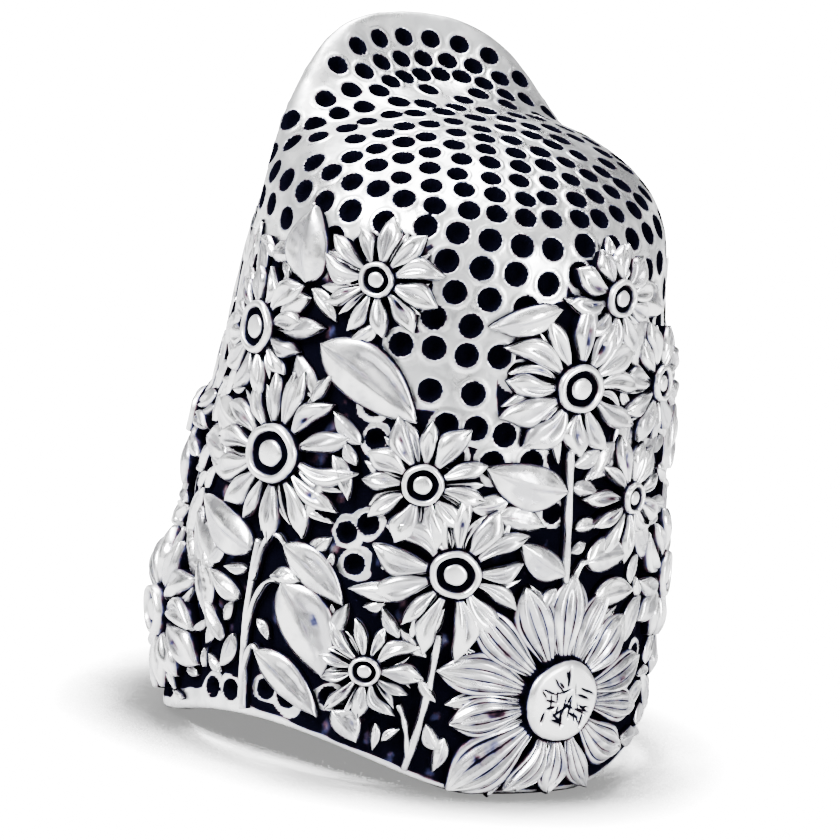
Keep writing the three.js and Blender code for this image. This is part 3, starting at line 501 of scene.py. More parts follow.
def turned_way(far, side, angle):
    """Lengths along and beside a direction, as lengths across and up the surface."""
    across = far * math.cos(angle) - side * math.sin(angle)
    along = far * math.sin(angle) + side * math.cos(angle)
    return across, along


def wall_distance(turn, height, other_turn, other_height):
    """Distance on the wall between two places."""
    across = np.radians((turn - other_turn + 180) % 360 - 180) * MIDDLE_RADIUS
    return np.hypot(across, height - other_height)


# ---- making meshes ----
class Relief:
    """Gathers closed patches, with how black each point is, into one mesh."""

    def __init__(self):
        self.points, self.faces, self.black, self.count = [], [], [], 0

    def _take(self, points, black):
        first = self.count
        flat = points.reshape(-1, 3)
        self.points.append(flat)
        self.black.append(np.broadcast_to(black, points.shape[:-1]).reshape(-1))
        self.count += len(flat)
        return first + np.arange(len(flat)).reshape(points.shape[:-1])

    def _quads(self, a, b, c, d):
        self.faces += np.stack([a, b, c, d], axis=-1).reshape(-1, 4).tolist()

    def patch(self, top, bottom, black):
        """A closed patch: a grid of top points, the same grid of bottom points, and its edge."""
        up, down = self._take(top, black), self._take(bottom, 1.0)
        self._quads(up[:-1, :-1], up[1:, :-1], up[1:, 1:], up[:-1, 1:])
        self._quads(down[:-1, :-1], down[:-1, 1:], down[1:, 1:], down[1:, :-1])
        self._quads(down[:-1, 0], down[1:, 0], up[1:, 0], up[:-1, 0])
        self._quads(up[:-1, -1], up[1:, -1], down[1:, -1], down[:-1, -1])
        self._quads(up[0, :-1], up[0, 1:], down[0, 1:], down[0, :-1])
        self._quads(down[-1, :-1], down[-1, 1:], up[-1, 1:], up[-1, :-1])

    def turned(self, rings, black, top, foot, ends_black=(0.0, 1.0)):
        """A closed round body: rings of points from its foot to its top, and their two middles."""
        grid = self._take(rings, black)
        ends = self._take(np.stack([top, foot]), np.array(ends_black))
        after = np.roll(grid, -1, axis=1)
        self._quads(grid[:-1], after[:-1], after[1:], grid[1:])
        for here, following in zip(grid[-1], after[-1]):
            self.faces.append([int(here), int(following), int(ends[0])])
        for here, following in zip(grid[0], after[0]):
            self.faces.append([int(following), int(here), int(ends[1])])

    def make(self, name, material, node=None):
        mesh = bpy.data.meshes.new(name)
        mesh.from_pydata((np.concatenate(self.points) * MM).tolist(), [], self.faces)
        mesh.polygons.foreach_set("use_smooth", [True] * len(mesh.polygons))
        # this attribute carries the oxide, and also the shade painted on the wall, inside the shell
        # and in hollows
        patina_and_painted_shade = mesh.attributes.new("patina_and_painted_shade", "FLOAT", "POINT")
        patina_and_painted_shade.data.foreach_set("value", np.concatenate(self.black).astype(np.float32))
        mesh.materials.append(material)
        piece = bpy.data.objects.new(name, mesh)
        bpy.context.scene.collection.objects.link(piece)
        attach(piece, "root")
        if node:
            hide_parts(node)


# ---- metal ----
class Shading:
    """A material's nodes, and short ways to join on more of them. Each way that adds a node returns a
    socket.
    """

    def __init__(self, name):
        self.material = bpy.data.materials.new(name)
        self.material.use_nodes = True
        self.nodes, self.links = self.material.node_tree.nodes, self.material.node_tree.links
        self.inputs = self.nodes["Principled BSDF"].inputs

    def feed(self, socket, value):
        """Gives an input a number, a colour or another socket."""
        if isinstance(value, (int, float, tuple)):
            socket.default_value = value
        else:
            self.links.new(value, socket)

    def set(self, name, value):
        self.feed(self.inputs[name], value)

    def span(self, value, sources, results=(0, 1), smooth_step=False):
        """Maps the values of a socket from one range to another."""
        mapped = self.nodes.new("ShaderNodeMapRange")
        mapped.interpolation_type = "SMOOTHSTEP" if smooth_step else "LINEAR"
        for side, source, result in zip(("Min", "Max"), sources, results):
            mapped.inputs[f"From {side}"].default_value = source
            mapped.inputs[f"To {side}"].default_value = result
        self.links.new(value, mapped.inputs["Value"])
        return mapped.outputs["Result"]

    def noise(self, size, detail):
        """Noise whose features are about `size` millimetres across."""
        place = self.nodes.new("ShaderNodeTexCoord")
        texture = self.nodes.new("ShaderNodeTexNoise")
        texture.inputs["Scale"].default_value = 1 / (size * MM)
        texture.inputs["Detail"].default_value = detail
        self.links.new(place.outputs["Object"], texture.inputs["Vector"])
        return texture.outputs["Fac"]

    def openness(self, reach):
        """How open a point is to its surroundings within `reach` millimetres."""
        occlusion = self.nodes.new("ShaderNodeAmbientOcclusion")
        occlusion.samples = 8
        occlusion.inputs["Distance"].default_value = reach * MM
        return occlusion.outputs["AO"]

    def calculate(self, operation, a, b, clamp=True):
        """Joins a socket with another socket or a number."""
        node = self.nodes.new("ShaderNodeMath")
        node.operation = operation
        node.use_clamp = clamp
        self.feed(node.inputs[0], a)
        self.feed(node.inputs[1], b)
        return node.outputs["Value"]

    def mix(self, share, a, b):
        """Mixes two colours, each of which is a colour or a socket."""
        node = self.nodes.new("ShaderNodeMix")
        node.data_type = "RGBA"
        for name, value in (("Factor", share), ("A", a), ("B", b)):
            self.feed(node.inputs[name], value)
        return node.outputs["Result"]


def silver(name):
    """Silver: bright on the high metal, dull in patches and where shade is painted on, and oxidised
    black in the recesses.
    """
    colour, dull, roughness, occlusion_reach, grain = SILVERS[name]
    metal = Shading(name)
    metal.set("Specular IOR Level", 0)

    patina_and_painted_shade = metal.nodes.new("ShaderNodeAttribute")
    patina_and_painted_shade.attribute_name = "patina_and_painted_shade"
    corner = metal.span(metal.openness(occlusion_reach), OXIDE_OPENNESS, smooth_step=True)
    deepest = metal.calculate("MAXIMUM", patina_and_painted_shade.outputs["Fac"], corner)
    fleck = metal.span(metal.noise(*FLECK), FLECK_EDGES, FLECK_BLACK)
    black = metal.calculate("ADD", deepest, fleck)

    patches = metal.span(metal.noise(*PATCH), PATCH_EDGES, PATCH_DULL)
    # dulled in random patches, and by tarnish and painted shade from the black
    dull_and_painted_shade = metal.calculate("ADD", patches, metal.span(black, TARNISH_AND_PAINTED_SHADE_BLACK))
    stain = metal.span(metal.noise(*STAIN), STAIN_EDGES)
    stain = metal.mix(stain, NAVY_OXIDE, BROWN_OXIDE)
    to_stain = metal.span(black, STAIN_BLACK, smooth_step=True)
    to_black = metal.span(black, OXIDE_BLACK, smooth_step=True)
    tone = metal.mix(to_stain, metal.mix(dull_and_painted_shade, (*colour, 1), (*dull, 1)), stain)
    metal.set("Base Color", metal.mix(to_black, tone, BLACK_OXIDE))
    metal.set("Metallic", metal.span(to_black, (0, 1), (1, 0)))

    worn = metal.span(patches, (0, 1), (roughness, roughness * WORN_ROUGHNESS))
    rougher = metal.span(black, ROUGH_BLACK, (0, OXIDE_ROUGHNESS))
    metal.set("Roughness", metal.calculate("ADD", worn, rougher))

    bump = metal.nodes.new("ShaderNodeBump")
    bump.inputs["Strength"].default_value = grain
    bump.inputs["Distance"].default_value = GRAIN_DEPTH * MM
    metal.links.new(metal.noise(*GRAIN), bump.inputs["Height"])
    metal.set("Normal", bump.outputs["Normal"])
    return metal.material


# ---- places of the flowers and the dimples ----
def flower_places():
    """Each flower's turn and height on the wall, from the box of its boss in the frame."""
    places = {}
    for name in FLOWERS:
        low, high = (np.array(corner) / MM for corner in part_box(f"{name}_boss"))
        x, y, z = (low + high) / 2
        turn = float(as_turn(math.atan2(y, x)))
        column = int(round(as_theta(turn) / (2 * math.pi) * COLUMNS)) % COLUMNS
        places[name] = (turn, float(np.interp(z, SECTION_Z[column], SECTION_LENGTH[column])))
    return places


PLACES = flower_places()


def clearance(turn, height):
    """Distance from a place to the nearest flower's petals, which is negative over them."""
    nearest = np.full(np.shape(turn), np.inf)
    for name, place in PLACES.items():
        nearest = np.minimum(nearest, wall_distance(turn, height, *place) - FLOWERS[name][0])
    return nearest


def on_panel(turn, height, margin=0.0):
    """Whether a place is on one of the panels, grown by a margin in degrees."""
    return any(a - margin < turn < b + margin and height > low for a, b, low in PANELS)


def off_crest(theta, height, rows=60):
    """Whether a place is far enough from the lobe's crest to leave plain metal there."""
    radius, z = section(np.array([theta]), OUTSIDE, rows, np.zeros(1))
    length = along_surface(radius, z)[0]
    crest = (length[rows] + length[2 * rows]) / 2
    return lobe_share(np.array(theta)) <= CREST_SHARE or abs(height - crest) > CREST_LAND


def laid_dimples():
    """The dimples that are laid one by one or in short rows: angle, height and radius."""
    places = [(as_theta(turn), height, GAP_DIMPLE) for turn, height in GAP_DIMPLES]
    for turn, height, step, fall, count in PANEL_ROWS:
        for index in range(count):
            up = height - fall * index + RANDOM.normal(0, STRAY)
            places.append((as_theta(turn + step * index), up, WALL_DIMPLE))
    for away, turn, step, count in LOBE_ROWS:
        for index in range(count):
            theta = as_theta(turn + step * index)
            up = whole_height(theta) - away + STRAY * math.sin(7 * index + away)
            places.append((theta, up, LOBE_DIMPLE))
    return places


def ring_dimples():
    """Candidates in rings about the crown's middle: angle, height and radius of each."""
    places = [(0.0, whole_height(0.0), CROWN_DIMPLE)]
    for ring in range(RINGS):
        on_crown = min(ring, CROWN_RINGS - 1)
        on_wall = ring >= CROWN_RINGS
        over_crown = FIRST_RING + CROWN_STEP * on_crown
        down_wall = WALL_STEP * (ring - on_crown)
        around = 2 * math.pi * min(over_crown + down_wall, CROWN_RADIUS)
        count = round(around / (WALL_PITCH if on_wall else CROWN_PITCH))
        start = (0.5 if ring % 2 else 0.0) + RING_SLIP * math.sin(ring * RING_SLIP_TURN)
        for index in range(count):
            theta = 2 * math.pi * (index + start + RANDOM.normal(0, STRAY / CROWN_PITCH)) / count
            crowded = over_crown * (1 - LOBE_CROWDING * float(lobe_share(np.array(theta))))
            height = whole_height(theta) - crowded - down_wall
            radius = WALL_DIMPLE if on_wall else CROWN_DIMPLE
            radius *= RANDOM.uniform(SMALLEST_DIMPLE, LARGEST_DIMPLE)
            places.append((theta, height + RANDOM.normal(0, STRAY), radius))
    return places


def dimple_places():
    """Every dimple that is kept: angle, height and radius of each."""
    places = laid_dimples()
    middles = [surface_at(theta, height)[0] for theta, height, _ in places]
    for theta, height, radius in ring_dimples():
        middle = surface_at(theta, height)[0]
        apart_enough = all(np.linalg.norm(middle - other) > CLOSEST_DIMPLE for other in middles)
        shown = height > LOWEST_DIMPLE or on_panel(float(as_turn(theta)), height)
        if shown and apart_enough and off_crest(theta, height):
            places.append((theta, height, radius))
            middles.append(middle)
    return places


# ---- the shell ----
def outer_skin():
    """The outer surface as a grid of points, with its normals, angles and heights."""
    theta = np.repeat(MAP_ANGLES[:, None], OUTER_ROWS, axis=1)
    rim = rim_height(theta)
    share = np.linspace(0, 1, OUTER_ROWS + 1)[None, :-1]
    height = rim + (WHOLE_HEIGHT[:, None] - rim) * share
    return from_map(MAP, theta, height), from_map(MAP_NORMALS, theta, height), theta, height


def press_dimples(points, normals):
    """Sinks the skin into each dimple, moves the points by its edge on to it, and blackens it.

    Returns the new points, how black they are, and how bright the metal round the pits is.
    """
    black, sink, bright = (np.zeros(points.shape[:-1]) for _ in range(3))
    moved = points.copy()
    cell = 2 * np.pi * MOUTH_RADIUS / COLUMNS
    for theta, height, radius in dimple_places():
        centre, normal = surface_at(theta, height)
        offset = points - centre
        near = np.einsum("ijk,ijk->ij", offset, offset) < (radius * PIT.reach) ** 2
        near &= normals @ normal > PIT.facing
        flat = offset[near] - (offset[near] @ normal)[:, None] * normal
        away = np.maximum(np.linalg.norm(flat, axis=1), 1e-6)
        share = np.where(np.abs(away - radius) < cell * PIT.snap, 1.0, away / radius)
        moved[near] += flat * (share * radius / away - 1)[:, None]
        bowl = DIMPLE_DEPTH * np.clip(1 - share ** PIT.bowl_power, 0, 1)
        sink[near] += bowl - DIMPLE_LIP * bell(share - PIT.lip_at, PIT.lip_width)
        black[near] = np.maximum(black[near], share < 1.001)
        web = radius + uneven(points[near], *PIT.web)
        bright[near] = np.maximum(bright[near], fade_out(away, web, PIT.web_fade))
    return moved - normals * sink[..., None], black, bright


def shell_black(theta, height, black, bright, points):
    """The wall is black behind the flowers and bright on the crown, the panels and the rim, with a
    light painted shade over the wall below the crown.
    """
    turn = as_turn(theta)
    behind = fade_out(clearance(turn, height), GROUND.beside_petals, GROUND.beside_petals)
    behind = behind * fade_out(height, GROUND.behind_top, GROUND.behind_fade)
    low = fade_out(height, LOWEST_DIMPLE - GROUND.low_edge, GROUND.low_fade)
    # painted shade: the whole wall below the crown is dulled a little
    wall_painted_shade = GROUND.wall_painted_shade * fade_out(height, LOWEST_DIMPLE + GROUND.painted_shade_above, GROUND.painted_shade_fade)
    strayed = turn + uneven(points, *GROUND.panel_edge)
    for start, end, lowest in PANELS:
        panel = window(strayed, start, GROUND.panel_fade, end, GROUND.panel_fade)
        low = low * (1 - panel * fade_in(height, GROUND.low_fade, lowest))
    field = np.maximum(np.maximum(behind, low), wall_painted_shade) * (1 - GROUND.web_shine * bright)
    rim = GROUND.rim + GROUND.bare_rim * bell(apart(turn, GROUND.bare_at), GROUND.bare_width)
    rim = rim * uneven(points, *GROUND.rim_uneven)
    above_rim = fade_in(height - rim_height(theta), GROUND.rim_fade, rim)
    smeared = field * above_rim * uneven(points, *GROUND.smear)
    return np.clip(np.maximum(black, smeared), 0, 1)


def make_shell(material):
    """The whole shell as one closed body: up the inside from its crown, and back up the outside."""
    points, normals, theta, height = outer_skin()
    skin, black, bright = press_dimples(points, normals)
    above_rim = height - rim_height(theta)
    tuck = np.clip(RIM_ROUND - above_rim, 0, RIM_ROUND)
    rounding = RIM_ROUND - np.sqrt(RIM_ROUND ** 2 - tuck ** 2)
    wobble = sum(uneven(points, *pattern) for pattern in WOBBLES)
    wobble = wobble * fade_in(above_rim, WOBBLE_FADE, WOBBLE_FROM)
    skin = skin + normals * (wobble - rounding)[..., None]
    black = shell_black(theta, height, black, bright, points)

    radius, z = section(MAP_ANGLES, INSIDE, INNER_ROWS // 2, rim_height(MAP_ANGLES))
    inner = round_axis(radius[:, :-1], z[:, :-1], MAP_ANGLES)
    rings = np.concatenate([inner[:, ::-1], skin], axis=1).transpose(1, 0, 2)
    # the inner skin is given a light painted shade
    shade = np.concatenate([np.full(inner.shape[:-1], INSIDE_PAINTED_SHADE), black], axis=1).T
    middle = np.array([0, 0, CROWN_HEIGHT])
    top, foot = middle - [0, 0, DIMPLE_DEPTH], middle - [0, 0, CROWN_THICKNESS]
    shell = Relief()
    shell.turned(rings, shade, top, foot, (1.0, INSIDE_PAINTED_SHADE))
    shell.make("dimpled_shell", material, "shell")


# ---- flowers ----
def petal_half_width(a, b, width, fluted):
    """Half a petal's width along its length, uneven where the petal isn't fluted."""
    half = PETAL.root * (1 - a) + np.sin(np.pi * a ** PETAL.fullest) ** PETAL.blunt
    half = np.maximum(width / 2 * half, PETAL.tip * width)
    waves = RANDOM.uniform(*PETAL.ragged_waves) * a + RANDOM.uniform(0, 6) + 2 * np.sign(b)
    return half if fluted else half * (1 + PETAL.ragged * np.sin(waves))


def petal(relief, place, angle, start, length, width, lift, fluted, bend, crease, notch):
    """One petal, from its root at the boss to its tip, laid on the wall and a little cupped."""
    a = np.linspace(0, 1, PETAL.rows)[:, None]
    b = np.linspace(-1, 1, PETAL.fluted_columns if fluted else PETAL.columns)[None, :]
    half = petal_half_width(a, b, width, fluted)
    cut = notch * bell(b, PETAL.notch_width) * a ** PETAL.notch_power
    far = start + (length - start) * a * (1 - cut)
    side = b * half + bend * a ** 2 - PETAL.double_bend * bend * np.sin(np.pi * a)
    across, along = turned_way(far, side, angle)

    body = swell(a, PETAL.low, PETAL.high)
    dome = 1 - PETAL.dome * np.abs(b) ** PETAL.dome_power
    cup = PETAL.cup * bell(b - crease, PETAL.cup_width) * np.sin(np.pi * a ** 0.8) ** 2
    groove = bell(b - crease, PETAL.groove_width) * window(a, *PETAL.groove_span)
    flute = 0.5 - 0.5 * np.cos((b + 1) * np.pi * PETAL.flutes)
    if fluted:
        out = dome - PETAL.flute * flute * window(a, *PETAL.flute_span)
        lines = PETAL.flute_black * flute ** PETAL.flute_power * window(a, *PETAL.line_span)
    else:
        out = dome - cup - PETAL.groove * groove
        lines = PETAL.groove_black * groove
    out = lift * body * out
    top = wall_points(*place, across, along, out)
    bottom = wall_points(*place, across, along, np.full(out.shape, FOOT))

    root = fade_out(a, PETAL.root_black, PETAL.root_fade)
    edge = PETAL.edge_black * toward_edge(b, PETAL.edge)
    # the cup is darkened, partly by a navy stain and partly as painted shade of the hollow
    deep = RANDOM.uniform() < PETAL.stained
    stain = RANDOM.uniform(*(PETAL.deep_stains_and_painted_shade if deep else PETAL.light_stains_and_painted_shade))
    stain = stain * cup * uneven(top, *PETAL.stain)
    black = np.maximum(np.maximum(root, lines), np.maximum(edge + 0 * a, stain))
    relief.patch(top, bottom, np.clip(black, 0, 1))


def room_below(place, direction):
    """How long a petal can be before it would pass the rim."""
    turn, height = place
    down = -math.sin(direction)
    room = height - float(rim_height(np.array(as_theta(turn)))) - ROSETTE.rim_gap
    return room / down if down > ROSETTE.least_down else math.inf


def make_petals(name, material):
    """A rosette: narrower petals behind, and a full ring of petals before them."""
    length, boss, count, broad = FLOWERS[name]
    place = PLACES[name]
    fluted = "sunflower" in name
    relief = Relief()
    spacing = 2 * math.pi / count
    spin = RANDOM.uniform(0, spacing)
    start = boss - ROSETTE.under_boss
    for behind in (True, False):
        for index in range(count):
            if behind and RANDOM.uniform() < ROSETTE.behind_missing:
                continue
            step = index + (0.5 if behind else 0) + RANDOM.normal(0, ROSETTE.turn_stray)
            angle = spin + spacing * step
            far = length * RANDOM.uniform(*ROSETTE.lengths)
            far *= ROSETTE.behind_length if behind else 1
            far = max(min(far, room_below(place, angle)), start + ROSETTE.shortest)
            width = broad * spacing * ROSETTE.filling * far * RANDOM.uniform(*ROSETTE.widths)
            width *= ROSETTE.behind_width if behind else ROSETTE.front_width
            notched = RANDOM.uniform() < ROSETTE.notched
            notch = RANDOM.uniform(*ROSETTE.notches) if notched else 0
            lift = (ROSETTE.behind_lift if behind else 1) * RANDOM.uniform(*ROSETTE.lifts)
            bend = RANDOM.normal(0, ROSETTE.bend_stray) * length / 3
            crease = RANDOM.uniform(-ROSETTE.crease_stray, ROSETTE.crease_stray)
            petal(relief, place, angle, start, far, width, lift, fluted, bend, crease, notch)
    relief.make(f"{name}_petals_chased", material, f"{name}_petals")


def disc_profile():
    """A sunflower disc's profile: its edge, and then a low dome."""
    shares = np.linspace(*DISC_DOME, DISC_RINGS)
    dome = [(share, DISC_DOME_FOOT + DISC_DOME_RISE * (1 - share ** 2), 0) for share in shares]
    return (*DISC_EDGE, *dome)


def seed_marks(share, turn):
    """Short uneven strokes carved in a seed disc."""
    x, y = share * np.cos(turn), share * np.sin(turn)
    marks = np.zeros(share.shape)
    for _ in range(SEED_MARKS):
        away, way = SEEDS_REACH * math.sqrt(RANDOM.uniform()), RANDOM.uniform(0, 2 * math.pi)
        lean = way + RANDOM.normal(0, SEED_LEAN)
        long, wide = RANDOM.uniform(*SEED_LENGTHS), RANDOM.uniform(*SEED_WIDTHS)
        dx, dy = x - away * math.cos(way), y - away * math.sin(way)
        along = dx * math.cos(lean) + dy * math.sin(lean)
        across = dy * math.cos(lean) - dx * math.sin(lean)
        marks = np.maximum(marks, smooth(1.5 - np.hypot(along / long, across / wide)))
    return marks


def make_boss(name, material):
    """A flat ring round a groove and a button, or a carved seed disc on a sunflower."""
    boss = FLOWERS[name][1]
    place = PLACES[name]
    sunny = "sunflower" in name
    sides = DISC_SIDES if sunny else BOSS_SIDES
    profile = disc_profile() if sunny else BOSS_PROFILE
    turn = np.arange(sides) * 2 * np.pi / sides
    shares, outs, blacks = (np.array(column)[:, None] for column in zip(*profile))
    out_of_round = BOSS_UNEVEN[0] * np.sin(2 * turn + RANDOM.uniform(0, 6))
    out_of_round = out_of_round + BOSS_UNEVEN[1] * np.sin(5 * turn + 1)
    radius = boss * shares * (1 + out_of_round[None])
    outs, blacks = outs + 0 * radius, blacks + 0 * radius
    if sunny:
        mark = seed_marks(shares + 0 * radius, turn[None] + 0 * radius)
        outs, blacks = outs - SEED_DEPTH * mark, np.maximum(blacks, mark)
    rings = wall_points(*place, radius * np.cos(turn), radius * np.sin(turn), outs)
    top = wall_point(*place, DISC_DOME_FOOT + DISC_DOME_RISE if sunny else BOSS_TOP)
    relief = Relief()
    relief.turned(rings, blacks, top, wall_point(*place, FOOT))
    relief.make(f"{name}_boss_turned", material, f"{name}_boss")


# ---- leaves and stems ----
def leaf(relief, spec, lift=1.0):
    """A leaf with a midrib groove, slanting side veins, a hollow and, if it curls, a fold."""
    turn, height, aim, long, wide, curl = spec
    a = np.linspace(0, 1, LEAF.rows)[:, None]
    b = np.linspace(-1, 1, LEAF.columns)[None, :]
    half = wide / 2 * np.sin(np.pi * a ** LEAF.fullest) ** LEAF.blunt
    half = np.maximum(half, LEAF.tip * wide)
    side = b * half + LEAF.bow * wide * np.sin(np.pi * a)
    across, along = turned_way(long * a + 0 * b, side, math.radians(aim))

    body = swell(a, LEAF.low, LEAF.high)
    dome = 1 - LEAF.dome * np.abs(b) ** LEAF.dome_power + curl * LEAF.curl * np.clip(b, 0, 1) ** 2
    rib = bell(b, LEAF.rib_width) * fade_out(a, LEAF.rib_end, LEAF.rib_fade)
    folded = np.clip((curl - LEAF.least_curl) / (LEAF.full_curl - LEAF.least_curl), 0, 1)
    fold = folded * bell(b - LEAF.fold_at, LEAF.fold_width) * window(a, *LEAF.fold_span)
    slant = a * LEAF.veins - np.abs(b) * LEAF.vein_slant
    veins = bell(np.sin(np.pi * slant), LEAF.vein_width) * window(np.abs(b), *LEAF.vein_span)
    hollow = bell(b - LEAF.hollow_at, LEAF.hollow_width) * np.sin(np.pi * a) ** 2
    out = lift * body * (dome - LEAF.hollow * hollow)
    out = out - LEAF.rib * rib - LEAF.fold * fold - LEAF.vein * veins
    top = wall_points(turn, height, across, along, out)
    bottom = wall_points(turn, height, across, along, np.full(out.shape, FOOT))

    edge = LEAF.edge_black * toward_edge(b, LEAF.edge)
    # the hollow is darkened, partly by a stain and partly as painted shade
    stain = RANDOM.uniform(*LEAF.hollow_stains_and_painted_shade) * hollow * uneven(top, *LEAF.stain)
    stain = np.maximum(stain, LEAF.vein_black * veins)
    lines = np.maximum(LEAF.rib_black * rib, LEAF.fold_black * fold)
    black = np.maximum(np.maximum(lines, stain), edge + 0 * a)
    relief.patch(top, bottom, np.clip(black, 0, 1))


def make_leaf(name, material):
    relief = Relief()
    leaf(relief, LEAVES[name])
    relief.make(f"{name}_chased", material, name)


def stem(relief, path, wide):
    """A round-backed stem along a smooth line through its points."""
    path = np.array(path, dtype=float)
    t = np.linspace(0, 1, 40)
    knots = np.linspace(0, 1, len(path))
    turn, height = (
        np.polyval(np.polyfit(knots, path[:, k], len(path) - 1), t) for k in (0, 1)
    )
    way = np.stack([np.gradient(np.radians(turn) * MOUTH_RADIUS), np.gradient(height)], axis=-1)
    way /= np.linalg.norm(way, axis=1, keepdims=True)
    b = np.linspace(-1, 1, 9)[None, :]
    half = (wide / 2) * (1 + STEM_UNEVEN * np.sin(t * STEM_WAVES))[:, None]
    across = -b * half * way[:, 1:2]
    along = b * half * way[:, 0:1]
    theta = np.radians(turn - 90)[:, None] + across / MOUTH_RADIUS
    up = height[:, None] + along
    out = STEM_SIDE + STEM_RISE * np.sqrt(np.clip(1 - b ** 2, 0, 1)) + 0 * across
    surface, normal = from_map(MAP, theta, up), from_map(MAP_NORMALS, theta, up)
    edge = toward_edge(b, STEM_EDGE) + 0 * across
    relief.patch(surface + normal * out[..., None], surface + normal * FOOT, edge)


def make_stem(name, material):
    relief = Relief()
    stem(relief, STEMS[name], STEM_WIDTH)
    relief.make(f"{name}_drawn", material, name)


def along_leaf(turn, height, aim, long):
    """The turn and height of the place `long` from a leaf's foot."""
    way = math.radians(aim)
    across = math.degrees(long * math.cos(way) / MOUTH_RADIUS)
    return turn + across, height + long * math.sin(way)


def taken_places():
    """Spots that the leaves, stems and single dimples already take: turn, height and reach."""
    spots = [(turn, height, DIMPLE_REACH) for turn, height in GAP_DIMPLES]
    for turn, height, aim, long, wide, _ in (*LEAVES.values(), *LOOSE_LEAVES):
        for share in (0.2, 0.5, 0.8):
            spots.append((*along_leaf(turn, height, aim, long * share), wide * LEAF_REACH))
    for path in (*STEMS.values(), *STALKS):
        for (turn, height), (end_turn, end_height) in zip(path, path[1:]):
            for share in np.linspace(0, 1, 6):
                at = turn + (end_turn - turn) * share, height + (end_height - height) * share
                spots.append((*at, STEM_REACH))
    return spots


def has_room(turn, height, aim, long, spots):
    """Whether a small leaf lies clear of the rim, the panels, the flowers and the taken spots."""
    middle = along_leaf(turn, height, aim, long / 2)
    tip = along_leaf(turn, height, aim, long)[1]
    rim = float(rim_height(np.array(as_theta(middle[0]))))
    if on_panel(middle[0], middle[1] + 1, margin=3):
        return False
    if min(height, tip) < rim + FOLIAGE_OVER_PETALS or max(height, tip) > FOLIAGE_TOP:
        return False
    if clearance(*middle) < -FOLIAGE_OVER_PETALS:
        return False
    nearest = min(wall_distance(*middle, a, b) - reach for a, b, reach in spots)
    return nearest >= long * FOLIAGE_REACH


def make_foliage(material):
    """Small leaves and petal tips that fill the spaces between the flowers, all round the wall."""
    spots = taken_places()
    relief = Relief()
    for spec in LOOSE_LEAVES:
        leaf(relief, spec)
    for size in np.concatenate([np.full(count, size) for size, count in FOLIAGE_SIZES]):
        turn, height = RANDOM.uniform(-180, 180), RANDOM.uniform(FOLIAGE_LOWEST, FOLIAGE_HIGHEST)
        long, aim = size * RANDOM.uniform(*FOLIAGE_LENGTHS), RANDOM.uniform(0, 360)
        if has_room(turn, height, aim, long, spots):
            spots.append((*along_leaf(turn, height, aim, long / 2), long * FOLIAGE_REACH))
            wide, curl = long * RANDOM.uniform(*FOLIAGE_WIDTHS), RANDOM.uniform(*FOLIAGE_CURLS)
            leaf(relief, (turn, height, aim, long, wide, curl), RANDOM.uniform(*FOLIAGE_LIFTS))
    for path in STALKS:
        stem(relief, path, STALK_WIDTH)
    relief.make("foliage_chased", material)


# ---- camera, light and floor ----
def make_camera():
    """Places the camera, and returns the directions to its right, up and back."""
    azimuth, elevation, roll = (
        math.radians(angle) for angle in (CAMERA_AZIMUTH, CAMERA_ELEVATION, CAMERA_ROLL)
    )
    back = Vector((
        math.sin(azimuth) * math.cos(elevation),
        -math.cos(azimuth) * math.cos(elevation),
        math.sin(elevation),
    ))
    level = Vector((math.cos(azimuth), math.sin(azimuth), 0))
    upright = back.cross(level)
    right = level * math.cos(roll) + upright * math.sin(roll)
    up = upright * math.cos(roll) - level * math.sin(roll)
    camera = bpy.data.objects.new("camera", bpy.data.cameras.new("camera"))
    camera.data.lens = CAMERA_LENS
    camera.data.clip_start, camera.data.clip_end = 0.01, 10
    turned = Matrix((right, up, back)).transposed().to_4x4()
    turned.translation = AIM + back * CAMERA_AWAY - right * AIM_RIGHT - up * AIM_UP
    camera.matrix_world = turned
    bpy.context.scene.collection.objects.link(camera)
    bpy.context.scene.camera = camera
    return right, up, back


def area_light(name, place, size, power):
    """A rectangular light that faces the aim."""
    light = bpy.data.objects.new(name, bpy.data.lights.new(name, "AREA"))
    light.data.shape = "RECTANGLE"
    light.data.size, light.data.size_y = size
    light.data.energy = power
    light.location = place
    light.rotation_mode = "QUATERNION"
    light.rotation_quaternion = (place - AIM).to_track_quat("Z", "Y")
    bpy.context.scene.collection.objects.link(light)


def make_lights(right, up, back):
    for name, (place, size, power) in LIGHTS.items():
        area_light(name, AIM + back * place[0] + up * place[1] + right * place[2], size, power)
    place, size, power = TOP_LIGHT
    area_light("top", AIM + Vector(place), size, power)


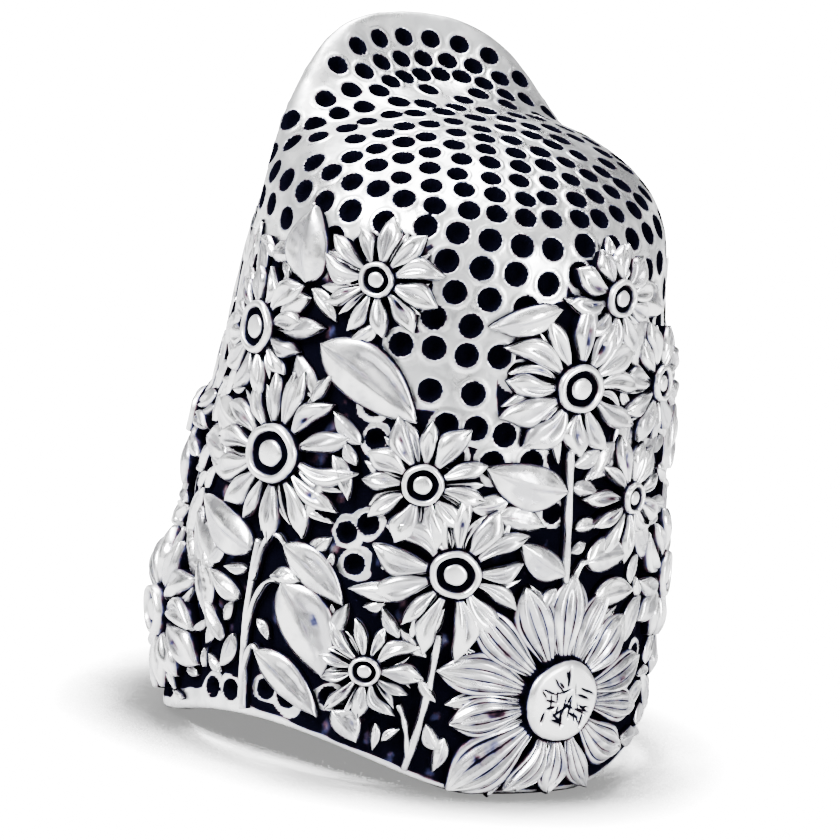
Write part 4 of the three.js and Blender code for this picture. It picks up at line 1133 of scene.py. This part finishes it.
def make_world():
    """A room with light and dark patches for the silver to mirror, and a white backdrop."""
    world = bpy.data.worlds.new("studio")
    bpy.context.scene.world = world
    world.use_nodes = True
    nodes, links = world.node_tree.nodes, world.node_tree.links
    backdrop = nodes["Background"]
    backdrop.inputs["Color"].default_value = WHITE
    backdrop.inputs["Strength"].default_value = BACKDROP_LIGHT
    room = nodes.new("ShaderNodeBackground")
    room.inputs["Strength"].default_value = ROOM_LIGHT
    place = nodes.new("ShaderNodeTexCoord")
    patches = nodes.new("ShaderNodeTexNoise")
    patches.inputs["Scale"].default_value = ROOM_PATCHES
    patches.inputs["Detail"].default_value = 1
    links.new(place.outputs["Generated"], patches.inputs["Vector"])
    ramp = nodes.new("ShaderNodeValToRGB")
    for element, position, colour in zip(ramp.color_ramp.elements, ROOM_EDGES, (ROOM_DARK, WHITE)):
        element.position = position
        element.color = colour
    links.new(patches.outputs["Fac"], ramp.inputs["Fac"])
    links.new(ramp.outputs["Color"], room.inputs["Color"])
    path = nodes.new("ShaderNodeLightPath")
    mix = nodes.new("ShaderNodeMixShader")
    links.new(path.outputs["Is Camera Ray"], mix.inputs["Fac"])
    links.new(room.outputs["Background"], mix.inputs[1])
    links.new(backdrop.outputs["Background"], mix.inputs[2])
    links.new(mix.outputs["Shader"], nodes["World Output"].inputs["Surface"])


def make_floor():
    """A white floor that glows for the camera, with a shadow painted into that light near the shell
    and under it; the silver mirrors a plain lit floor.
    """
    half = FLOOR_HALF
    corners = [(-half, -half, 0), (half, -half, 0), (half, half, 0), (-half, half, 0)]
    mesh = bpy.data.meshes.new("floor")
    mesh.from_pydata(corners, [], [(0, 1, 2, 3)])
    floor = bpy.data.objects.new("floor", mesh)
    floor.location.z = -FLOOR_DROP * MM

    white = Shading("floor_white_painted_shadow")
    seen = white.nodes.new("ShaderNodeLightPath").outputs["Is Camera Ray"]
    # painted shadow: the floor's light is dimmed close to the shell and under it
    near = white.span(white.openness(PAINTED_SHADOW_REACH), (PAINTED_SHADOW_DEEPEST, 1))
    outside = white.span(white.openness(HOLLOW_REACH), HOLLOW_EDGE)
    clear = white.calculate("MINIMUM", near, outside)
    clear = white.calculate("POWER", clear, PAINTED_SHADOW_FALL, clamp=False)
    glow_with_painted_shadow = white.span(clear, (0, 1), (FLOOR_PAINTED_SHADOW, FLOOR_GLOW))
    white.set("Emission Strength", white.calculate("MULTIPLY", glow_with_painted_shadow, seen, clamp=False))
    white.set("Emission Color", WHITE)
    white.set("Base Color", white.mix(seen, FLOOR_COLOUR, BLACK))
    white.set("Roughness", FLOOR_ROUGHNESS)
    mesh.materials.append(white.material)
    bpy.context.scene.collection.objects.link(floor)


# ---- everything ----
shell_silver, bright_silver, boss_silver = (silver(name) for name in SILVERS)

make_shell(shell_silver)
for flower in FLOWERS:
    make_petals(flower, bright_silver)
    make_boss(flower, boss_silver)
for leaf_name in LEAVES:
    make_leaf(leaf_name, bright_silver)
make_foliage(bright_silver)
for stem_name in STEMS:
    make_stem(stem_name, bright_silver)

make_lights(*make_camera())
make_world()
make_floor()
